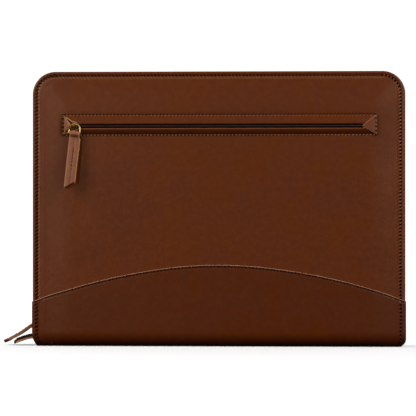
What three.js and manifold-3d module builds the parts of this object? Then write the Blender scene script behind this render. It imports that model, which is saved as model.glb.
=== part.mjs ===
// Leather document case that zips round three sides, standing on its spine.
// Millimetres. The front faces -Y, +X is on the viewer's right and +Z is up.
// The origin is the middle of the flat underside of the spine.
//
// The case is a folder: a front and a back panel, a wrap that joins them round the spine, and
// a leather edging that carries a zip along the left, top and right sides. It is hollow inside.
// The front has a zipped slot with a three-cornered leather tab at each end.

import * as THREE from "three";
import Module from "manifold-3d";
import { mergeVertices } from "three/addons/utils/BufferGeometryUtils.js";

const wasm = await Module();
wasm.setup();

// Overall size of the closed case
const caseWidth = 350;
const caseHeight = 258.5;
const topCornerRadius = 19;
const borderHalfDepth = 12; // middle of the case to the outer face of the stitched border
const clearance = 0.3; // between pieces that touch on the real case

// Foot of each side, where the border turns in under the case
const footRadius = 20;
const footBend = 0.58; // how far a side drops along its bend, as a share of its radius
const footRun = 7; // how far the flat underside stays inside the side

// Leather
const panelLeather = 1.6;
const wrapLeather = 1.4;
const edgingLeather = 1.4;
const strapLeather = 1.4;

// Padded panels
const crownHeight = 3.2; // how far a panel swells out past its border
const crownBand = 34; // width of the rounded zone inside the border
const borderWidth = 4; // flat stitched border
const panelFoot = 13; // height of a panel's lower edge, under the wrap

// Shares of the rounded zone's width where the panels' facets meet
const crownShares = [0.09, 0.2, 0.35, 0.53, 0.76, 1];

// Wrap round the spine
const archPeak = 76.2; // height of the wrap's curved upper edge in the middle
const archRise = 33.3; // how much lower it is at the sides
const spineHalfWidth = 8; // half of the flat underside
const spineRoll = 14; // height of the rounded edge of the spine
const wrapOverhang = 0.6; // how far the wrap stands out past the panels' sides

// Edging that carries the zip. An inset is a distance inside the panel's edge.
const flangeInset = 0.9; // outer edge of the flange
const flangeWidth = 9.5;
const wallInset = 7; // outer face of the wall that the tape is sewn to
const wallLap = 1.7; // how far the wall laps over the tape's edge
const seamHalfGap = 0.3; // half of the gap where the two walls meet below the zip

// Main zip
const tapeThickness = 0.7;
const tapeMargin = 0.5; // between the tape's edge and the flange
const tapeHalfSlit = 0.15; // half of the gap between the two tapes
const chainHalfWidth = 2.4;
const chainHeight = 1.5;
const chainSeat = 0.15; // between the chain and the tape
const chainBevel = 0.6;

// Tail of the main zip, which leaves the case at the lower left corner
const tailBendRadius = 4.5;
const tailExitHeight = 9.7; // of the tape's middle
const tailReach = 16.2; // from the side of the case to the hem
const tailDrop = 4.7; // how much lower the hem is
const tailHemTurn = THREE.MathUtils.degToRad(110); // the tape's end folds round the tab
const tailTabThickness = 1.9;
const tailTabStart = 3.2; // inside the side of the case

// The tail's route, as shares of its reach and its drop
const tailRoute = [
  { reach: 0.04, drop: 0.04 },
  { reach: 0.37, drop: 0.25 },
  { reach: 0.6, drop: 0.5 },
  { reach: 0.83, drop: 0.77 },
  { reach: 1, drop: 1 },
];

// Slot with its own zip in the front panel, inside a stitched rectangle
const slotMarginLeft = 29.3; // side of the case to the upright seam
const slotMarginRight = 27.6;
const slotMarginTop = 40.5; // top of the case to the upper seam
const slotSeamHeight = 19.5; // between the upper and the lower seam
const slotDrop = 11.2; // upper seam to the middle of the slot
const slotHeight = 4;
const lipRise = 2; // how far the lips beside the slot stand out
const slotTapeOverlap = 2.2; // tape past the seams

// Three-cornered tabs at the slot's ends
const tabLength = 12.6; // seam to point
const tabThickness = 1.2;
const tabMargin = 1; // tab past its seam
const tabTipHalfWidth = 0.5;
const liftedTabReach = 7.5; // of the left tab, which the slider lifts, seen from the front
const liftedTabRise = 6; // of its point above the panel

// The lifted tab's curl, as shares of its reach and its rise
const tabCurl = [
  { reach: 0, rise: 0 },
  { reach: 0.13, rise: 0.06 },
  { reach: 0.27, rise: 0.2 },
  { reach: 0.42, rise: 0.4 },
  { reach: 0.6, rise: 0.65 },
  { reach: 0.8, rise: 0.87 },
  { reach: 1, rise: 1 },
];

// Zip sliders
const sliderLength = 11;
const sliderWideEnd = 9.4;
const sliderNarrowEnd = 7;
const sliderPlate = 1.1;
const sliderShoulder = 4; // length of the wide end
const sliderChamfer = 1.4;
const sliderRoom = 0.4; // between the slider and the slot's edges
const bridgeWidth = 2.4;
const bridgeThickness = 0.9;
const bridgeLength = 6;
const bridgeRoom = 3.2; // height of the hole under the bridge
const bridgeChamfer = 1.2;
const bridgeHoleChamfer = 0.6;
const postLength = 3;
const postWidth = 1.6;
const postInset = 0.8; // from the wide end
const slotSliderInset = 7.1; // middle of the slot's slider, inside the left seam
const mainSliderHeight = 40; // middle of the main slider above the floor

// Pull rings: a flat bar below and a round bow above
const wireRadius = 0.55;
const ringHalfWidth = 5.15; // to the middle of the wire
const ringHeight = 8.6; // bar to the top of the bow, between the middles of the wire
const ringCornerRadius = 1.3;
const ringTilt = THREE.MathUtils.degToRad(9); // the bar stands out further than the bow
const slotRingLean = THREE.MathUtils.degToRad(3);
const slotRingHold = 6; // height above the bar where the slot's bridge holds the ring's side
const slotRingSeat = 2.1; // wire above the slider's plate, under the bridge
const mainRingSeat = 1.6;

// Pull straps, folded round the ring's bar
const strapWidth = 10.6;
const strapNeckWidth = 8.5;
const strapNeckLength = 4.4;
const strapNeckSlope = 1.5; // length over which the neck widens
const strapLayerGap = 0.2;
const strapEyeGap = 0.5; // between the wire and the leather
const strapEyeLength = 5.9; // length over which the two layers come together
const strapEndSlant = 6.4; // how much longer one edge of a strap is than the other
const slotStrapLean = THREE.MathUtils.degToRad(6.3);
const slotStrapLength = 53;
const slotStrapSwing = 4.2; // how much further its end stands out than its ring's bar
const mainStrapExit = 10.1; // where it leaves the case, above the tail's tape
const mainStrapReach = 26.6; // from the side of the case to its end
const mainStrapDrop = 15.2; // how much lower its end is than where it leaves the case

// The slot strap's route, as shares of its length and its swing
const slotStrapRoute = [
  { along: 0, swing: 0 },
  { along: 0.25, swing: 0.22 },
  { along: 0.6, swing: 0.68 },
  { along: 1, swing: 1 },
];

// The main strap's route inside the zip's channel, as shares of the way from the ring's bar to
// where the strap leaves the case
const channelRoute = [
  { out: 0, drop: 0 },
  { out: 0.03, drop: 0.33 },
  { out: 0.26, drop: 0.66 },
  { out: 1, drop: 1 },
];

// The main strap's route outside the case, as shares of its reach and its drop
const mainStrapRoute = [
  { reach: 0.22, drop: 0.27 },
  { reach: 0.365, drop: 0.445 },
  { reach: 0.51, drop: 0.595 },
  { reach: 0.65, drop: 0.715 },
  { reach: 0.86, drop: 0.9 },
  { reach: 1, drop: 1 },
];

// Sizes that follow from these
const halfWidth = caseWidth / 2;
const wrapLayer = wrapLeather + clearance;
const flangeFace = borderHalfDepth - panelLeather - clearance;
const flangeBack = flangeFace - edgingLeather;
const tapeHalfWidth = flangeBack - tapeMargin;
const wallEnd = tapeHalfWidth - wallLap;
const tapeInset = wallInset + edgingLeather + clearance + tapeThickness / 2;
const tapeFace = tapeInset - tapeThickness / 2;
const chainTop = chainSeat + chainHeight; // above the tape's outer face
const slotSeamLeft = -halfWidth + slotMarginLeft;
const slotSeamRight = halfWidth - slotMarginRight;
const slotSeamTop = caseHeight - slotMarginTop;
const slotSeamBottom = slotSeamTop - slotSeamHeight;
const slotCentreZ = slotSeamTop - slotDrop;
const slotTop = slotCentreZ + slotHeight / 2;
const slotBottom = slotCentreZ - slotHeight / 2;
const slotLeft = slotSeamLeft + tabLength;
const slotRight = slotSeamRight - tabLength;
const slotSliderX = slotSeamLeft + slotSliderInset;
const floorGap = wrapLeather + 2 * clearance;
const footStart = wrapLeather + footBend * footRadius;
const footTurn = Math.asin(footBend);
const edgingFootTurn = Math.asin((footStart - floorGap) / (footRadius - flangeInset));
const zipFootTurn = Math.asin((footStart - floorGap) / (footRadius - tapeFace + chainTop));
const cutMargin = 5; // by which cutting blocks reach past what they cut
const cutDepth = borderHalfDepth + crownHeight + lipRise + wrapLayer + cutMargin;

const leather = new THREE.MeshStandardMaterial({ color: 0x5c2c18, roughness: 0.5, metalness: 0 });
const strapHide = new THREE.MeshStandardMaterial({ color: 0x8a5640, roughness: 0.6, metalness: 0 });
const blackTape = new THREE.MeshStandardMaterial({ color: 0x0d0b0b, roughness: 0.85, metalness: 0 });
const blackCoil = new THREE.MeshStandardMaterial({ color: 0x141112, roughness: 0.4, metalness: 0 });
const brass = new THREE.MeshStandardMaterial({ color: 0xa98a45, roughness: 0.35, metalness: 1 });

const { clamp, lerp } = THREE.MathUtils;
const quarterTurn = Math.PI / 2;

// Solids

// Faces of a flat polygon in space, turned the way its points run.
function capFaces(ring) {
  const normal = new THREE.Vector3();
  ring.forEach((p, i) => {
    const q = ring[(i + 1) % ring.length];
    normal.x += (p.y - q.y) * (p.z + q.z);
    normal.y += (p.z - q.z) * (p.x + q.x);
    normal.z += (p.x - q.x) * (p.y + q.y);
  });
  normal.normalize();
  const alongX = Math.abs(normal.x) > Math.abs(normal.y) && Math.abs(normal.x) > Math.abs(normal.z);
  const across = alongX ? new THREE.Vector3(0, 1, 0) : new THREE.Vector3(1, 0, 0);
  const u = new THREE.Vector3().crossVectors(across, normal).normalize();
  const v = new THREE.Vector3().crossVectors(normal, u);
  const flat = ring.map((p) => new THREE.Vector2(p.dot(u), p.dot(v)));
  return THREE.ShapeUtils.triangulateShape(flat, []).map(([a, b, c]) => {
    const turn = THREE.ShapeUtils.area([flat[a], flat[b], flat[c]]);
    return turn > 0 ? [a, b, c] : [a, c, b];
  });
}

// Joins rings with equally many points into one closed solid that faces out.
// Its ends are capped, unless the rings form a loop.
function loft(rings, loop = false) {
  const count = rings[0].length;
  const faces = [];
  const spans = loop ? rings.length : rings.length - 1;
  for (let i = 0; i < spans; i++) {
    const next = ((i + 1) % rings.length) * count;
    for (let j = 0; j < count; j++) {
      const a = i * count + j;
      const b = i * count + ((j + 1) % count);
      const c = next + j;
      const d = next + ((j + 1) % count);
      faces.push([a, b, d], [a, d, c]);
    }
  }
  if (!loop) {
    const lastRing = (rings.length - 1) * count;
    capFaces(rings[0]).forEach(([a, b, c]) => faces.push([a, c, b]));
    capFaces(rings.at(-1)).forEach((f) => faces.push(f.map((k) => k + lastRing)));
  }
  const points = rings.flat();
  const volume = faces.reduce((sum, [a, b, c]) => {
    const cross = new THREE.Vector3().crossVectors(points[b], points[c]);
    return sum + points[a].dot(cross);
  }, 0);
  const index = faces.flatMap(([a, b, c]) => (volume > 0 ? [a, b, c] : [a, c, b]));
  const geometry = new THREE.BufferGeometry().setFromPoints(points);
  geometry.setIndex(index);
  return geometry;
}

// A three.js geometry as a solid that can be joined and cut.
function solid(geometry) {
  const bare = geometry.clone();
  bare.deleteAttribute("normal");
  bare.deleteAttribute("uv");
  const merged = mergeVertices(bare, 1e-4);
  const vertProperties = merged.attributes.position.array;
  const triVerts = new Uint32Array(merged.index.array);
  return new wasm.Manifold(new wasm.Mesh({ numProp: 3, vertProperties, triVerts }));
}

function geometryOf(made) {
  const mesh = made.getMesh();
  const geometry = new THREE.BufferGeometry();
  geometry.setAttribute("position", new THREE.BufferAttribute(mesh.vertProperties, 3));
  geometry.setIndex(new THREE.BufferAttribute(mesh.triVerts, 1));
  return geometry;
}

// A shape drawn in X and Z, as a prism from y = from to y = to.
function prismAlongY(shape, from, to) {
  const geometry = new THREE.ExtrudeGeometry(shape, {
    depth: to - from,
    bevelEnabled: false,
    curveSegments: 12,
  });
  geometry.rotateX(quarterTurn);
  geometry.translate(0, to, 0);
  return solid(geometry);
}

// A box between two opposite corners.
function boxBetween(low, high) {
  const size = new THREE.Vector3().subVectors(high, low);
  const middle = new THREE.Vector3().addVectors(low, high).multiplyScalar(0.5);
  const geometry = new THREE.BoxGeometry(size.x, size.y, size.z);
  return solid(geometry.translate(middle.x, middle.y, middle.z));
}

function piece(name, geometry, material) {
  geometry.computeVertexNormals();
  const mesh = new THREE.Mesh(geometry, material);
  mesh.name = name;
  return mesh;
}

// Outline of the case in the front view

// How far a point lies inside the sides and the top.
function insetOf(x, z) {
  const pastX = Math.abs(x) - (halfWidth - topCornerRadius);
  const pastZ = z - (caseHeight - topCornerRadius);
  if (pastX > 0 && pastZ > 0) return topCornerRadius - Math.hypot(pastX, pastZ);
  return Math.min(halfWidth - Math.abs(x), caseHeight - z);
}

// The whole outline, grown by a margin. It reaches below the floor, where the spine is flat.
function outlineShape(grow) {
  const footX = halfWidth - footRadius;
  const cornerX = halfWidth - topCornerRadius;
  const cornerZ = caseHeight - topCornerRadius;
  const toe = new THREE.Vector2(
    footX + (footRadius + grow) * Math.cos(footTurn),
    footStart - (footRadius + grow) * Math.sin(footTurn),
  );
  const below = -wrapLeather / 2;
  const bendX = toe.x - (toe.y - below) * Math.tan(footTurn);
  const shape = new THREE.Shape();
  shape.moveTo(-(halfWidth - footRun), below);
  shape.lineTo(halfWidth - footRun, below);
  shape.quadraticCurveTo(bendX, below, toe.x, toe.y);
  shape.absarc(footX, footStart, footRadius + grow, -footTurn, 0);
  shape.absarc(cornerX, cornerZ, topCornerRadius + grow, 0, quarterTurn);
  shape.absarc(-cornerX, cornerZ, topCornerRadius + grow, quarterTurn, Math.PI);
  shape.absarc(-footX, footStart, footRadius + grow, Math.PI, Math.PI + footTurn);
  shape.quadraticCurveTo(-bendX, below, -(halfWidth - footRun), below);
  return shape;
}

// Stations of an arc, each with its point and the direction to the arc's centre.
function arcStations(cx, cz, radius, from, to, steps) {
  return Array.from({ length: steps + 1 }, (_, i) => {
    const a = from + ((to - from) * i) / steps;
    return {
      x: cx + radius * Math.cos(a),
      z: cz + radius * Math.sin(a),
      inX: -Math.cos(a),
      inZ: -Math.sin(a),
    };
  });
}

// Stations up the left side, over the top and down the right side, at an inset.
function sideStations(inset, leftTurn, rightTurn) {
  const footX = halfWidth - footRadius;
  const cornerX = halfWidth - topCornerRadius;
  const cornerZ = caseHeight - topCornerRadius;
  const foot = footRadius - inset;
  const corner = topCornerRadius - inset;
  const straightX = halfWidth - inset;
  const middleZ = (footStart + cornerZ) / 2;
  const stations = [
    { x: -straightX, z: middleZ, inX: 1, inZ: 0 },
    ...arcStations(-cornerX, cornerZ, corner, Math.PI, quarterTurn, 8),
    { x: 0, z: caseHeight - inset, inX: 0, inZ: -1 },
    ...arcStations(cornerX, cornerZ, corner, quarterTurn, 0, 8),
    { x: straightX, z: middleZ, inX: -1, inZ: 0 },
    ...arcStations(footX, footStart, foot, 0, -rightTurn, 5),
  ];
  if (leftTurn > 0) {
    stations.unshift(...arcStations(-footX, footStart, foot, Math.PI + leftTurn, Math.PI, 5));
  }
  return stations;
}

// How much narrower the case is at a height, inside the rounded edges of its spine.
function spineNarrowing(z) {
  if (z > spineRoll) return 1;
  const along = Math.min((spineRoll - z) / (spineRoll - wrapLeather), 1);
  const depth = spineHalfWidth + (borderHalfDepth - spineHalfWidth) * Math.sqrt(1 - along ** 2);
  return depth / borderHalfDepth;
}

// A section of insets and depths, carried along the stations. side is -1 for the front half.
function sweep(stations, section, side) {
  return loft(
    stations.map((s) =>
      section.map(([inset, depth]) => {
        const z = s.z + s.inZ * inset;
        const y = side * depth * (s.outside ? 1 : spineNarrowing(z));
        return new THREE.Vector3(s.x + s.inX * inset, y, z);
      }),
    ),
  );
}

// Section of a flat band between two insets and two depths.
const bandSection = (insetFrom, insetTo, depthFrom, depthTo) => [
  [insetFrom, depthFrom],
  [insetTo, depthFrom],
  [insetTo, depthTo],
  [insetFrom, depthTo],
];

// Panels

// A rise from 0 to 1 that starts steeply and ends level.
const rounded = (t) => 1 - (1 - t) ** 2;

// How far a panel swells out past its border.
function crownAt(x, z) {
  const t = clamp((insetOf(x, z) - borderWidth) / crownBand, 0, 1);
  return crownHeight * rounded(t);
}

// How far the lips stand out beside the slot.
function lipAt(x, z) {
  const above = (slotSeamTop - z) / (slotSeamTop - slotTop);
  const below = (z - slotSeamBottom) / (slotBottom - slotSeamBottom);
  const right = (slotSeamRight - x) / tabLength;
  const left = (x - slotSeamLeft) / tabLength;
  const t = clamp(Math.min(above, below, right, left), 0, 1);
  return lipRise * rounded(t);
}

const backFace = (x, z) => borderHalfDepth + crownAt(x, z);
const frontFace = (x, z) => backFace(x, z) + lipAt(x, z);

// Insets of the lines where the panels' facets meet, close together where the surface bends.
const bendInsets = [
  0,
  borderWidth / 2,
  borderWidth,
  ...crownShares.map((share) => borderWidth + share * crownBand),
];
const evenShares = (count) => Array.from({ length: count }, (_, i) => (i + 1) / (count + 1));
const acrossLines = [
  ...bendInsets.map((d) => -halfWidth + d),
  ...evenShares(5).map((share) => lerp(-halfWidth, halfWidth, share)),
  ...bendInsets.map((d) => halfWidth - d),
];
const uprightLines = [
  panelFoot,
  ...evenShares(4).map((share) => lerp(panelFoot, caseHeight - crownBand, share)),
  ...bendInsets.map((d) => caseHeight - d),
];

// Lines in order, without those that nearly coincide.
function sortedLines(lines) {
  const sorted = [...lines].sort((a, b) => a - b);
  return sorted.filter((v, i) => i === 0 || v - sorted[i - 1] > clearance);
}

// A curved sheet of leather over a face, cut to the outline.
function panelSheet(face, side, xLines, zLines) {
  const rings = sortedLines(xLines).map((x) => {
    const heights = sortedLines(zLines);
    const outer = heights.map((z) => new THREE.Vector3(x, side * face(x, z), z));
    const inner = heights.map((z) => new THREE.Vector3(x, side * (face(x, z) - panelLeather), z));
    return [...outer, ...inner.reverse()];
  });
  return solid(loft(rings)).intersect(prismAlongY(outlineShape(0), -cutDepth, cutDepth));
}

// The slot's outline: a narrow slot that opens into a triangle at its left end, where it
// leaves room for the slider.
function slotShape() {
  const room = sliderNarrowEnd / 2 + sliderRoom;
  const sliderEnd = slotSliderX + sliderLength / 2 + sliderRoom;
  const cornerX = slotSeamLeft + tabMargin;
  const cornerReach = slotDrop - tabMargin;
  const wideX = slotSliderX + sliderLength / 2 - sliderShoulder;
  const points = [
    [cornerX, cornerReach],
    [wideX, sliderWideEnd / 2 + sliderRoom],
    [sliderEnd, room],
    [sliderEnd + room - slotHeight / 2, slotHeight / 2],
    [slotRight + tabMargin, slotHeight / 2],
  ];
  const upper = points.map(([x, reach]) => new THREE.Vector2(x, slotCentreZ + reach));
  const lowest = slotSeamHeight - slotDrop - tabMargin;
  const lower = points.map(([x, reach]) => {
    return new THREE.Vector2(x, slotCentreZ - Math.min(reach, lowest));
  });
  return new THREE.Shape([...lower, ...upper.reverse()]);
}

function makeFrontPanel() {
  const lipShares = [0.25, 0.55];
  const lipLines = lipShares.flatMap((share) => [
    lerp(slotSeamTop, slotTop, share),
    lerp(slotSeamBottom, slotBottom, share),
  ]);
  const endLines = lipShares.flatMap((share) => [
    lerp(slotSeamLeft, slotLeft, share),
    lerp(slotSeamRight, slotRight, share),
  ]);
  const xLines = [...acrossLines, slotLeft, slotRight, slotSeamLeft, slotSeamRight, ...endLines];
  const zLines = [...uprightLines, slotSeamTop, slotTop, slotBottom, slotSeamBottom, ...lipLines];
  const sheet = panelSheet(frontFace, -1, xLines, zLines);
  const slot = prismAlongY(slotShape(), -cutDepth, 0);
  return piece("front_panel", geometryOf(sheet.subtract(slot)), leather);
}

function makeBackPanel() {
  const sheet = panelSheet(backFace, 1, acrossLines, uprightLines);
  return piece("back_panel", geometryOf(sheet), leather);
}

// Wrap round the spine

const archAt = (x) => archPeak - archRise * (1 - Math.cos((Math.PI * x) / caseWidth));

// Line of the wrap in the plane at x, from its front edge, under the spine, to its back edge.
// layer is the line's distance from the panels' faces.
function wrapLine(x, layer) {
  const uprights = 3;
  const rollSteps = 5;
  const rollDepth = backFace(x, spineRoll) + layer - spineHalfWidth;
  const bottom = wrapLayer - layer;
  const line = Array.from({ length: uprights }, (_, i) => {
    const z = lerp(archAt(x), spineRoll, i / uprights);
    return [backFace(x, z) + layer, z];
  });
  for (let i = 0; i <= rollSteps; i++) {
    const a = (quarterTurn * i) / rollSteps;
    const y = spineHalfWidth + rollDepth * Math.cos(a);
    line.push([y, spineRoll - (spineRoll - bottom) * Math.sin(a)]);
  }
  return [...line.map(([y, z]) => [-y, z]), ...line.reverse()];
}

function makeWrap() {
  const ends = halfWidth + wrapOverhang + cutMargin;
  const archLines = evenShares(15).map((share) => lerp(-halfWidth, halfWidth, share));
  const rings = sortedLines([-ends, ...acrossLines, ...archLines, ends]).map((x) => {
    const outer = wrapLine(x, wrapLayer);
    const inner = wrapLine(x, clearance);
    return [...outer, ...inner.reverse()].map(([y, z]) => new THREE.Vector3(x, y, z));
  });
  const cut = prismAlongY(outlineShape(wrapOverhang), -cutDepth, cutDepth);
  return piece("spine_wrap", geometryOf(solid(loft(rings)).intersect(cut)), leather);
}

// Main zip

// Middle line of the tape, in three runs: the hem and tail outside the case, the bend where the
// tape turns into the side, and the run round the sides.
function tapeRuns() {
  const bendX = -halfWidth + tapeInset - tailBendRadius;
  const bendZ = tailExitHeight + tailBendRadius;
  const route = new THREE.CatmullRomCurve3([
    new THREE.Vector3(bendX, 0, tailExitHeight),
    ...tailRoute.map((p) => {
      const x = -halfWidth - p.reach * tailReach;
      return new THREE.Vector3(x, 0, tailExitHeight - p.drop * tailDrop);
    }),
  ]);
  const steps = 12;
  const tail = Array.from({ length: steps }, (_, i) => {
    const point = route.getPoint(1 - i / steps);
    const along = route.getTangent(1 - i / steps);
    return { x: point.x, z: point.z, inX: along.z, inZ: -Math.abs(along.x), outside: true };
  });
  const hemRadius = tapeThickness / 2 + clearance + tailTabThickness / 2;
  const end = tail[0];
  const hemX = end.x + end.inX * hemRadius;
  const hemZ = end.z + end.inZ * hemRadius;
  const top = Math.atan2(-end.inZ, -end.inX);
  const hem = arcStations(hemX, hemZ, hemRadius, top + tailHemTurn, top, 6).slice(0, -1);
  hem.forEach((s) => (s.outside = true));
  const bend = arcStations(bendX, bendZ, tailBendRadius, -quarterTurn, 0, 5);
  bend.forEach((s) => Object.assign(s, { inX: -s.inX, inZ: -s.inZ, outside: true }));
  return { hem, tail, bend, rim: sideStations(tapeInset, 0, zipFootTurn) };
}

const { hem, tail, bend, rim } = tapeRuns();

function makeTape(name, side, post) {
  const half = tapeThickness / 2;
  const section = bandSection(-half, half, tapeHalfSlit, tapeHalfWidth);
  const band = solid(sweep([...hem, ...tail, ...bend, ...rim], section, side));
  return piece(name, geometryOf(band.subtract(post)), blackTape);
}

function makeChain(post) {
  const base = -tapeThickness / 2 - chainSeat;
  const crest = base - chainHeight;
  const section = [
    [base, -chainHalfWidth],
    [base, chainHalfWidth],
    [crest + chainBevel, chainHalfWidth],
    [crest, chainHalfWidth - chainBevel],
    [crest, -chainHalfWidth + chainBevel],
    [crest + chainBevel, -chainHalfWidth],
  ];
  const band = solid(sweep([...tail, ...bend, ...rim], section, 1));
  return piece("zip_chain", geometryOf(band.subtract(post)), blackCoil);
}

// Leather tab under the tail, as wide as the two tapes.
function makeTailTab() {
  const top = tapeThickness / 2 + clearance;
  const section = bandSection(top, top + tailTabThickness, -tapeHalfWidth, tapeHalfWidth);
  const stations = tail.filter((s) => s.x < -halfWidth + tailTabStart);
  return piece("zip_tail_tab", sweep(stations, section, 1), leather);
}

// Edging

// A flange under the panel's border and a wall that carries the tape. Below the tail, at the
// lower left, the wall closes the side, and where the tail leaves it is cut away.
function makeEdging(name, side) {
  const wallBack = wallInset + edgingLeather;
  const section = [
    [flangeInset, flangeFace],
    [flangeInset + flangeWidth, flangeFace],
    [flangeInset + flangeWidth, flangeBack],
    [wallBack, flangeBack],
    [wallBack, wallEnd],
    [wallInset, wallEnd],
    [wallInset, flangeBack],
    [flangeInset, flangeBack],
  ];
  const frame = solid(sweep(sideStations(0, edgingFootTurn, edgingFootTurn), section, side));
  const footX = halfWidth - footRadius;
  const lowStations = arcStations(-footX, footStart, footRadius, Math.PI + edgingFootTurn, Math.PI, 5);
  const closing = bandSection(wallInset, wallBack, seamHalfGap, flangeFace - edgingLeather / 2);
  const closedFrame = frame.add(solid(sweep(lowStations, closing, side)));
  const tailWay = boxBetween(
    new THREE.Vector3(
      -halfWidth - cutMargin,
      -flangeBack + clearance,
      tailExitHeight - tapeThickness / 2 - clearance,
    ),
    new THREE.Vector3(
      -halfWidth + tapeInset + edgingLeather,
      flangeBack - clearance,
      tailExitHeight + tailBendRadius + clearance,
    ),
  );
  return piece(name, geometryOf(closedFrame.subtract(tailWay)), leather);
}

// Sliders. Along X the slider runs on the zip, with its wide end towards -X. Z points out of
// the case, and z = 0 is the outer face of the tape.

const plateFloor = chainTop + chainSeat;
const bridgeFloor = plateFloor + sliderPlate;
const plateCeilingBelow = -tapeThickness - clearance;

function sliderOutline() {
  const rear = -sliderLength / 2;
  const front = sliderLength / 2;
  const edge = [
    [rear, sliderWideEnd / 2 - sliderChamfer],
    [rear + sliderChamfer, sliderWideEnd / 2],
    [rear + sliderShoulder, sliderWideEnd / 2],
    [front - sliderChamfer, sliderNarrowEnd / 2],
    [front, sliderNarrowEnd / 2 - sliderChamfer],
  ];
  const upper = edge.map(([x, y]) => new THREE.Vector2(x, y));
  const lower = edge.map(([x, y]) => new THREE.Vector2(x, -y));
  return new THREE.Shape([...lower, ...upper.reverse()]);
}

// Upright that joins the slider's two plates, grown by a margin.
function sliderPost(grow) {
  const left = -sliderLength / 2 + postInset;
  return boxBetween(
    new THREE.Vector3(left - grow, -postWidth / 2 - grow, plateCeilingBelow - sliderPlate / 2),
    new THREE.Vector3(left + postLength + grow, postWidth / 2 + grow, plateFloor + sliderPlate / 2),
  );
}

// Outline of an arch with cut corners.
function archPoints(halfLength, floor, ceiling, chamfer) {
  return [
    new THREE.Vector2(-halfLength, floor),
    new THREE.Vector2(halfLength, floor),
    new THREE.Vector2(halfLength, ceiling - chamfer),
    new THREE.Vector2(halfLength - chamfer, ceiling),
    new THREE.Vector2(-halfLength + chamfer, ceiling),
    new THREE.Vector2(-halfLength, ceiling - chamfer),
  ];
}

function makeSlider() {
  const plate = new THREE.ExtrudeGeometry(sliderOutline(), { depth: sliderPlate, bevelEnabled: false });
  const upper = solid(plate.clone().translate(0, 0, plateFloor));
  const lower = solid(plate.clone().translate(0, 0, plateCeilingBelow - sliderPlate));
  const half = bridgeLength / 2;
  const ceiling = bridgeFloor + bridgeRoom;
  const base = bridgeFloor - sliderPlate / 2;
  const arch = new THREE.Shape(archPoints(half, base, ceiling + bridgeThickness, bridgeChamfer));
  const hole = archPoints(half - bridgeThickness, bridgeFloor, ceiling, bridgeHoleChamfer);
  arch.holes.push(new THREE.Path(hole));
  const bridge = prismAlongY(arch, -bridgeWidth / 2, bridgeWidth / 2);
  return geometryOf(upper.add(lower).add(sliderPost(0)).add(bridge));
}

// Pull rings, in the XZ plane, with the bar's middle at the origin

function ringLine() {
  const corner = ringHalfWidth - ringCornerRadius;
  const bowZ = ringHeight - ringHalfWidth;
  return [
    ...arcStations(corner, ringCornerRadius, ringCornerRadius, -quarterTurn, 0, 4),
    ...arcStations(0, bowZ, ringHalfWidth, 0, Math.PI, 14),
    ...arcStations(-corner, ringCornerRadius, ringCornerRadius, Math.PI, 3 * quarterTurn, 4),
  ];
}

function makeRing() {
  const sides = 8;
  const rings = ringLine().map((s) =>
    Array.from({ length: sides }, (_, i) => {
      const a = (2 * Math.PI * i) / sides;
      const out = wireRadius * Math.cos(a);
      return new THREE.Vector3(s.x - s.inX * out, wireRadius * Math.sin(a), s.z - s.inZ * out);
    }),
  );
  return loft(rings, true);
}

// Pull straps. The route starts at the ring's bar and runs in the YZ plane. The strip goes up
// its front, round the bar and down its back, and its end is cut on a slant.

// Points of the strip's middle, each with its distance from the bar along the strap.
function strapLine(curve) {
  const length = curve.getLength();
  const layer = strapLeather / 2 + strapLayerGap / 2;
  const eye = wireRadius + strapEyeGap + strapLeather / 2;
  const steps = 14;
  const eyeSteps = 8;
  const crowding = 1.25; // brings the points closer together near the bar
  const taper = 1.5;
  const sideLine = (sign) =>
    Array.from({ length: steps }, (_, i) => {
      const share = (1 - i / steps) ** crowding;
      const along = curve.getTangentAt(share);
      const normal = new THREE.Vector3(0, -along.z, along.y);
      const near = clamp((share * length) / strapEyeLength, 0, 1);
      const offset = sign * lerp(eye, layer, 1 - (1 - near) ** taper);
      return { centre: curve.getPointAt(share).addScaledVector(normal, offset), run: share * length };
    });
  const along = curve.getTangentAt(0);
  const normal = new THREE.Vector3(0, -along.z, along.y);
  const loop = Array.from({ length: eyeSteps + 1 }, (_, i) => {
    const a = (Math.PI * i) / eyeSteps;
    const centre = curve.getPointAt(0).addScaledVector(normal, eye * Math.cos(a));
    return { centre: centre.addScaledVector(along, -eye * Math.sin(a)), run: 0 };
  });
  return [...sideLine(1), ...loop, ...sideLine(-1).reverse()];
}

function makeStrap(route) {
  const curve = new THREE.CatmullRomCurve3(route, false, "centripetal");
  const line = strapLine(curve);
  const rings = line.map(({ centre, run }, i) => {
    const before = line[Math.max(i - 1, 0)].centre;
    const after = line[Math.min(i + 1, line.length - 1)].centre;
    const way = after.clone().sub(before).normalize();
    const out = new THREE.Vector3(0, -way.z, way.y).multiplyScalar(strapLeather / 2);
    const neck = clamp((run - strapNeckLength) / strapNeckSlope + 1, 0, 1);
    const wide = new THREE.Vector3(lerp(strapNeckWidth, strapWidth, neck) / 2, 0, 0);
    return [
      centre.clone().add(out).add(wide),
      centre.clone().add(out).sub(wide),
      centre.clone().sub(out).sub(wide),
      centre.clone().sub(out).add(wide),
    ];
  });
  return geometryOf(solid(loft(rings)).subtract(slantBlock(curve)));
}

// The block that cuts a strap's end on a slant, so that its -X edge stays longest.
function slantBlock(curve) {
  const size = 3 * strapWidth;
  const block = new THREE.BoxGeometry(size, size, size).translate(0, 0, -size / 2);
  block.rotateY(-Math.atan2(strapEndSlant, strapWidth));
  block.translate(0, 0, strapEndSlant / 2);
  const down = new THREE.Vector3(0, 0, -1);
  block.applyQuaternion(new THREE.Quaternion().setFromUnitVectors(down, curve.getTangentAt(1)));
  const end = curve.getPointAt(1);
  block.translate(end.x, end.y, end.z);
  return solid(block);
}

// Zip in the front panel

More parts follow.
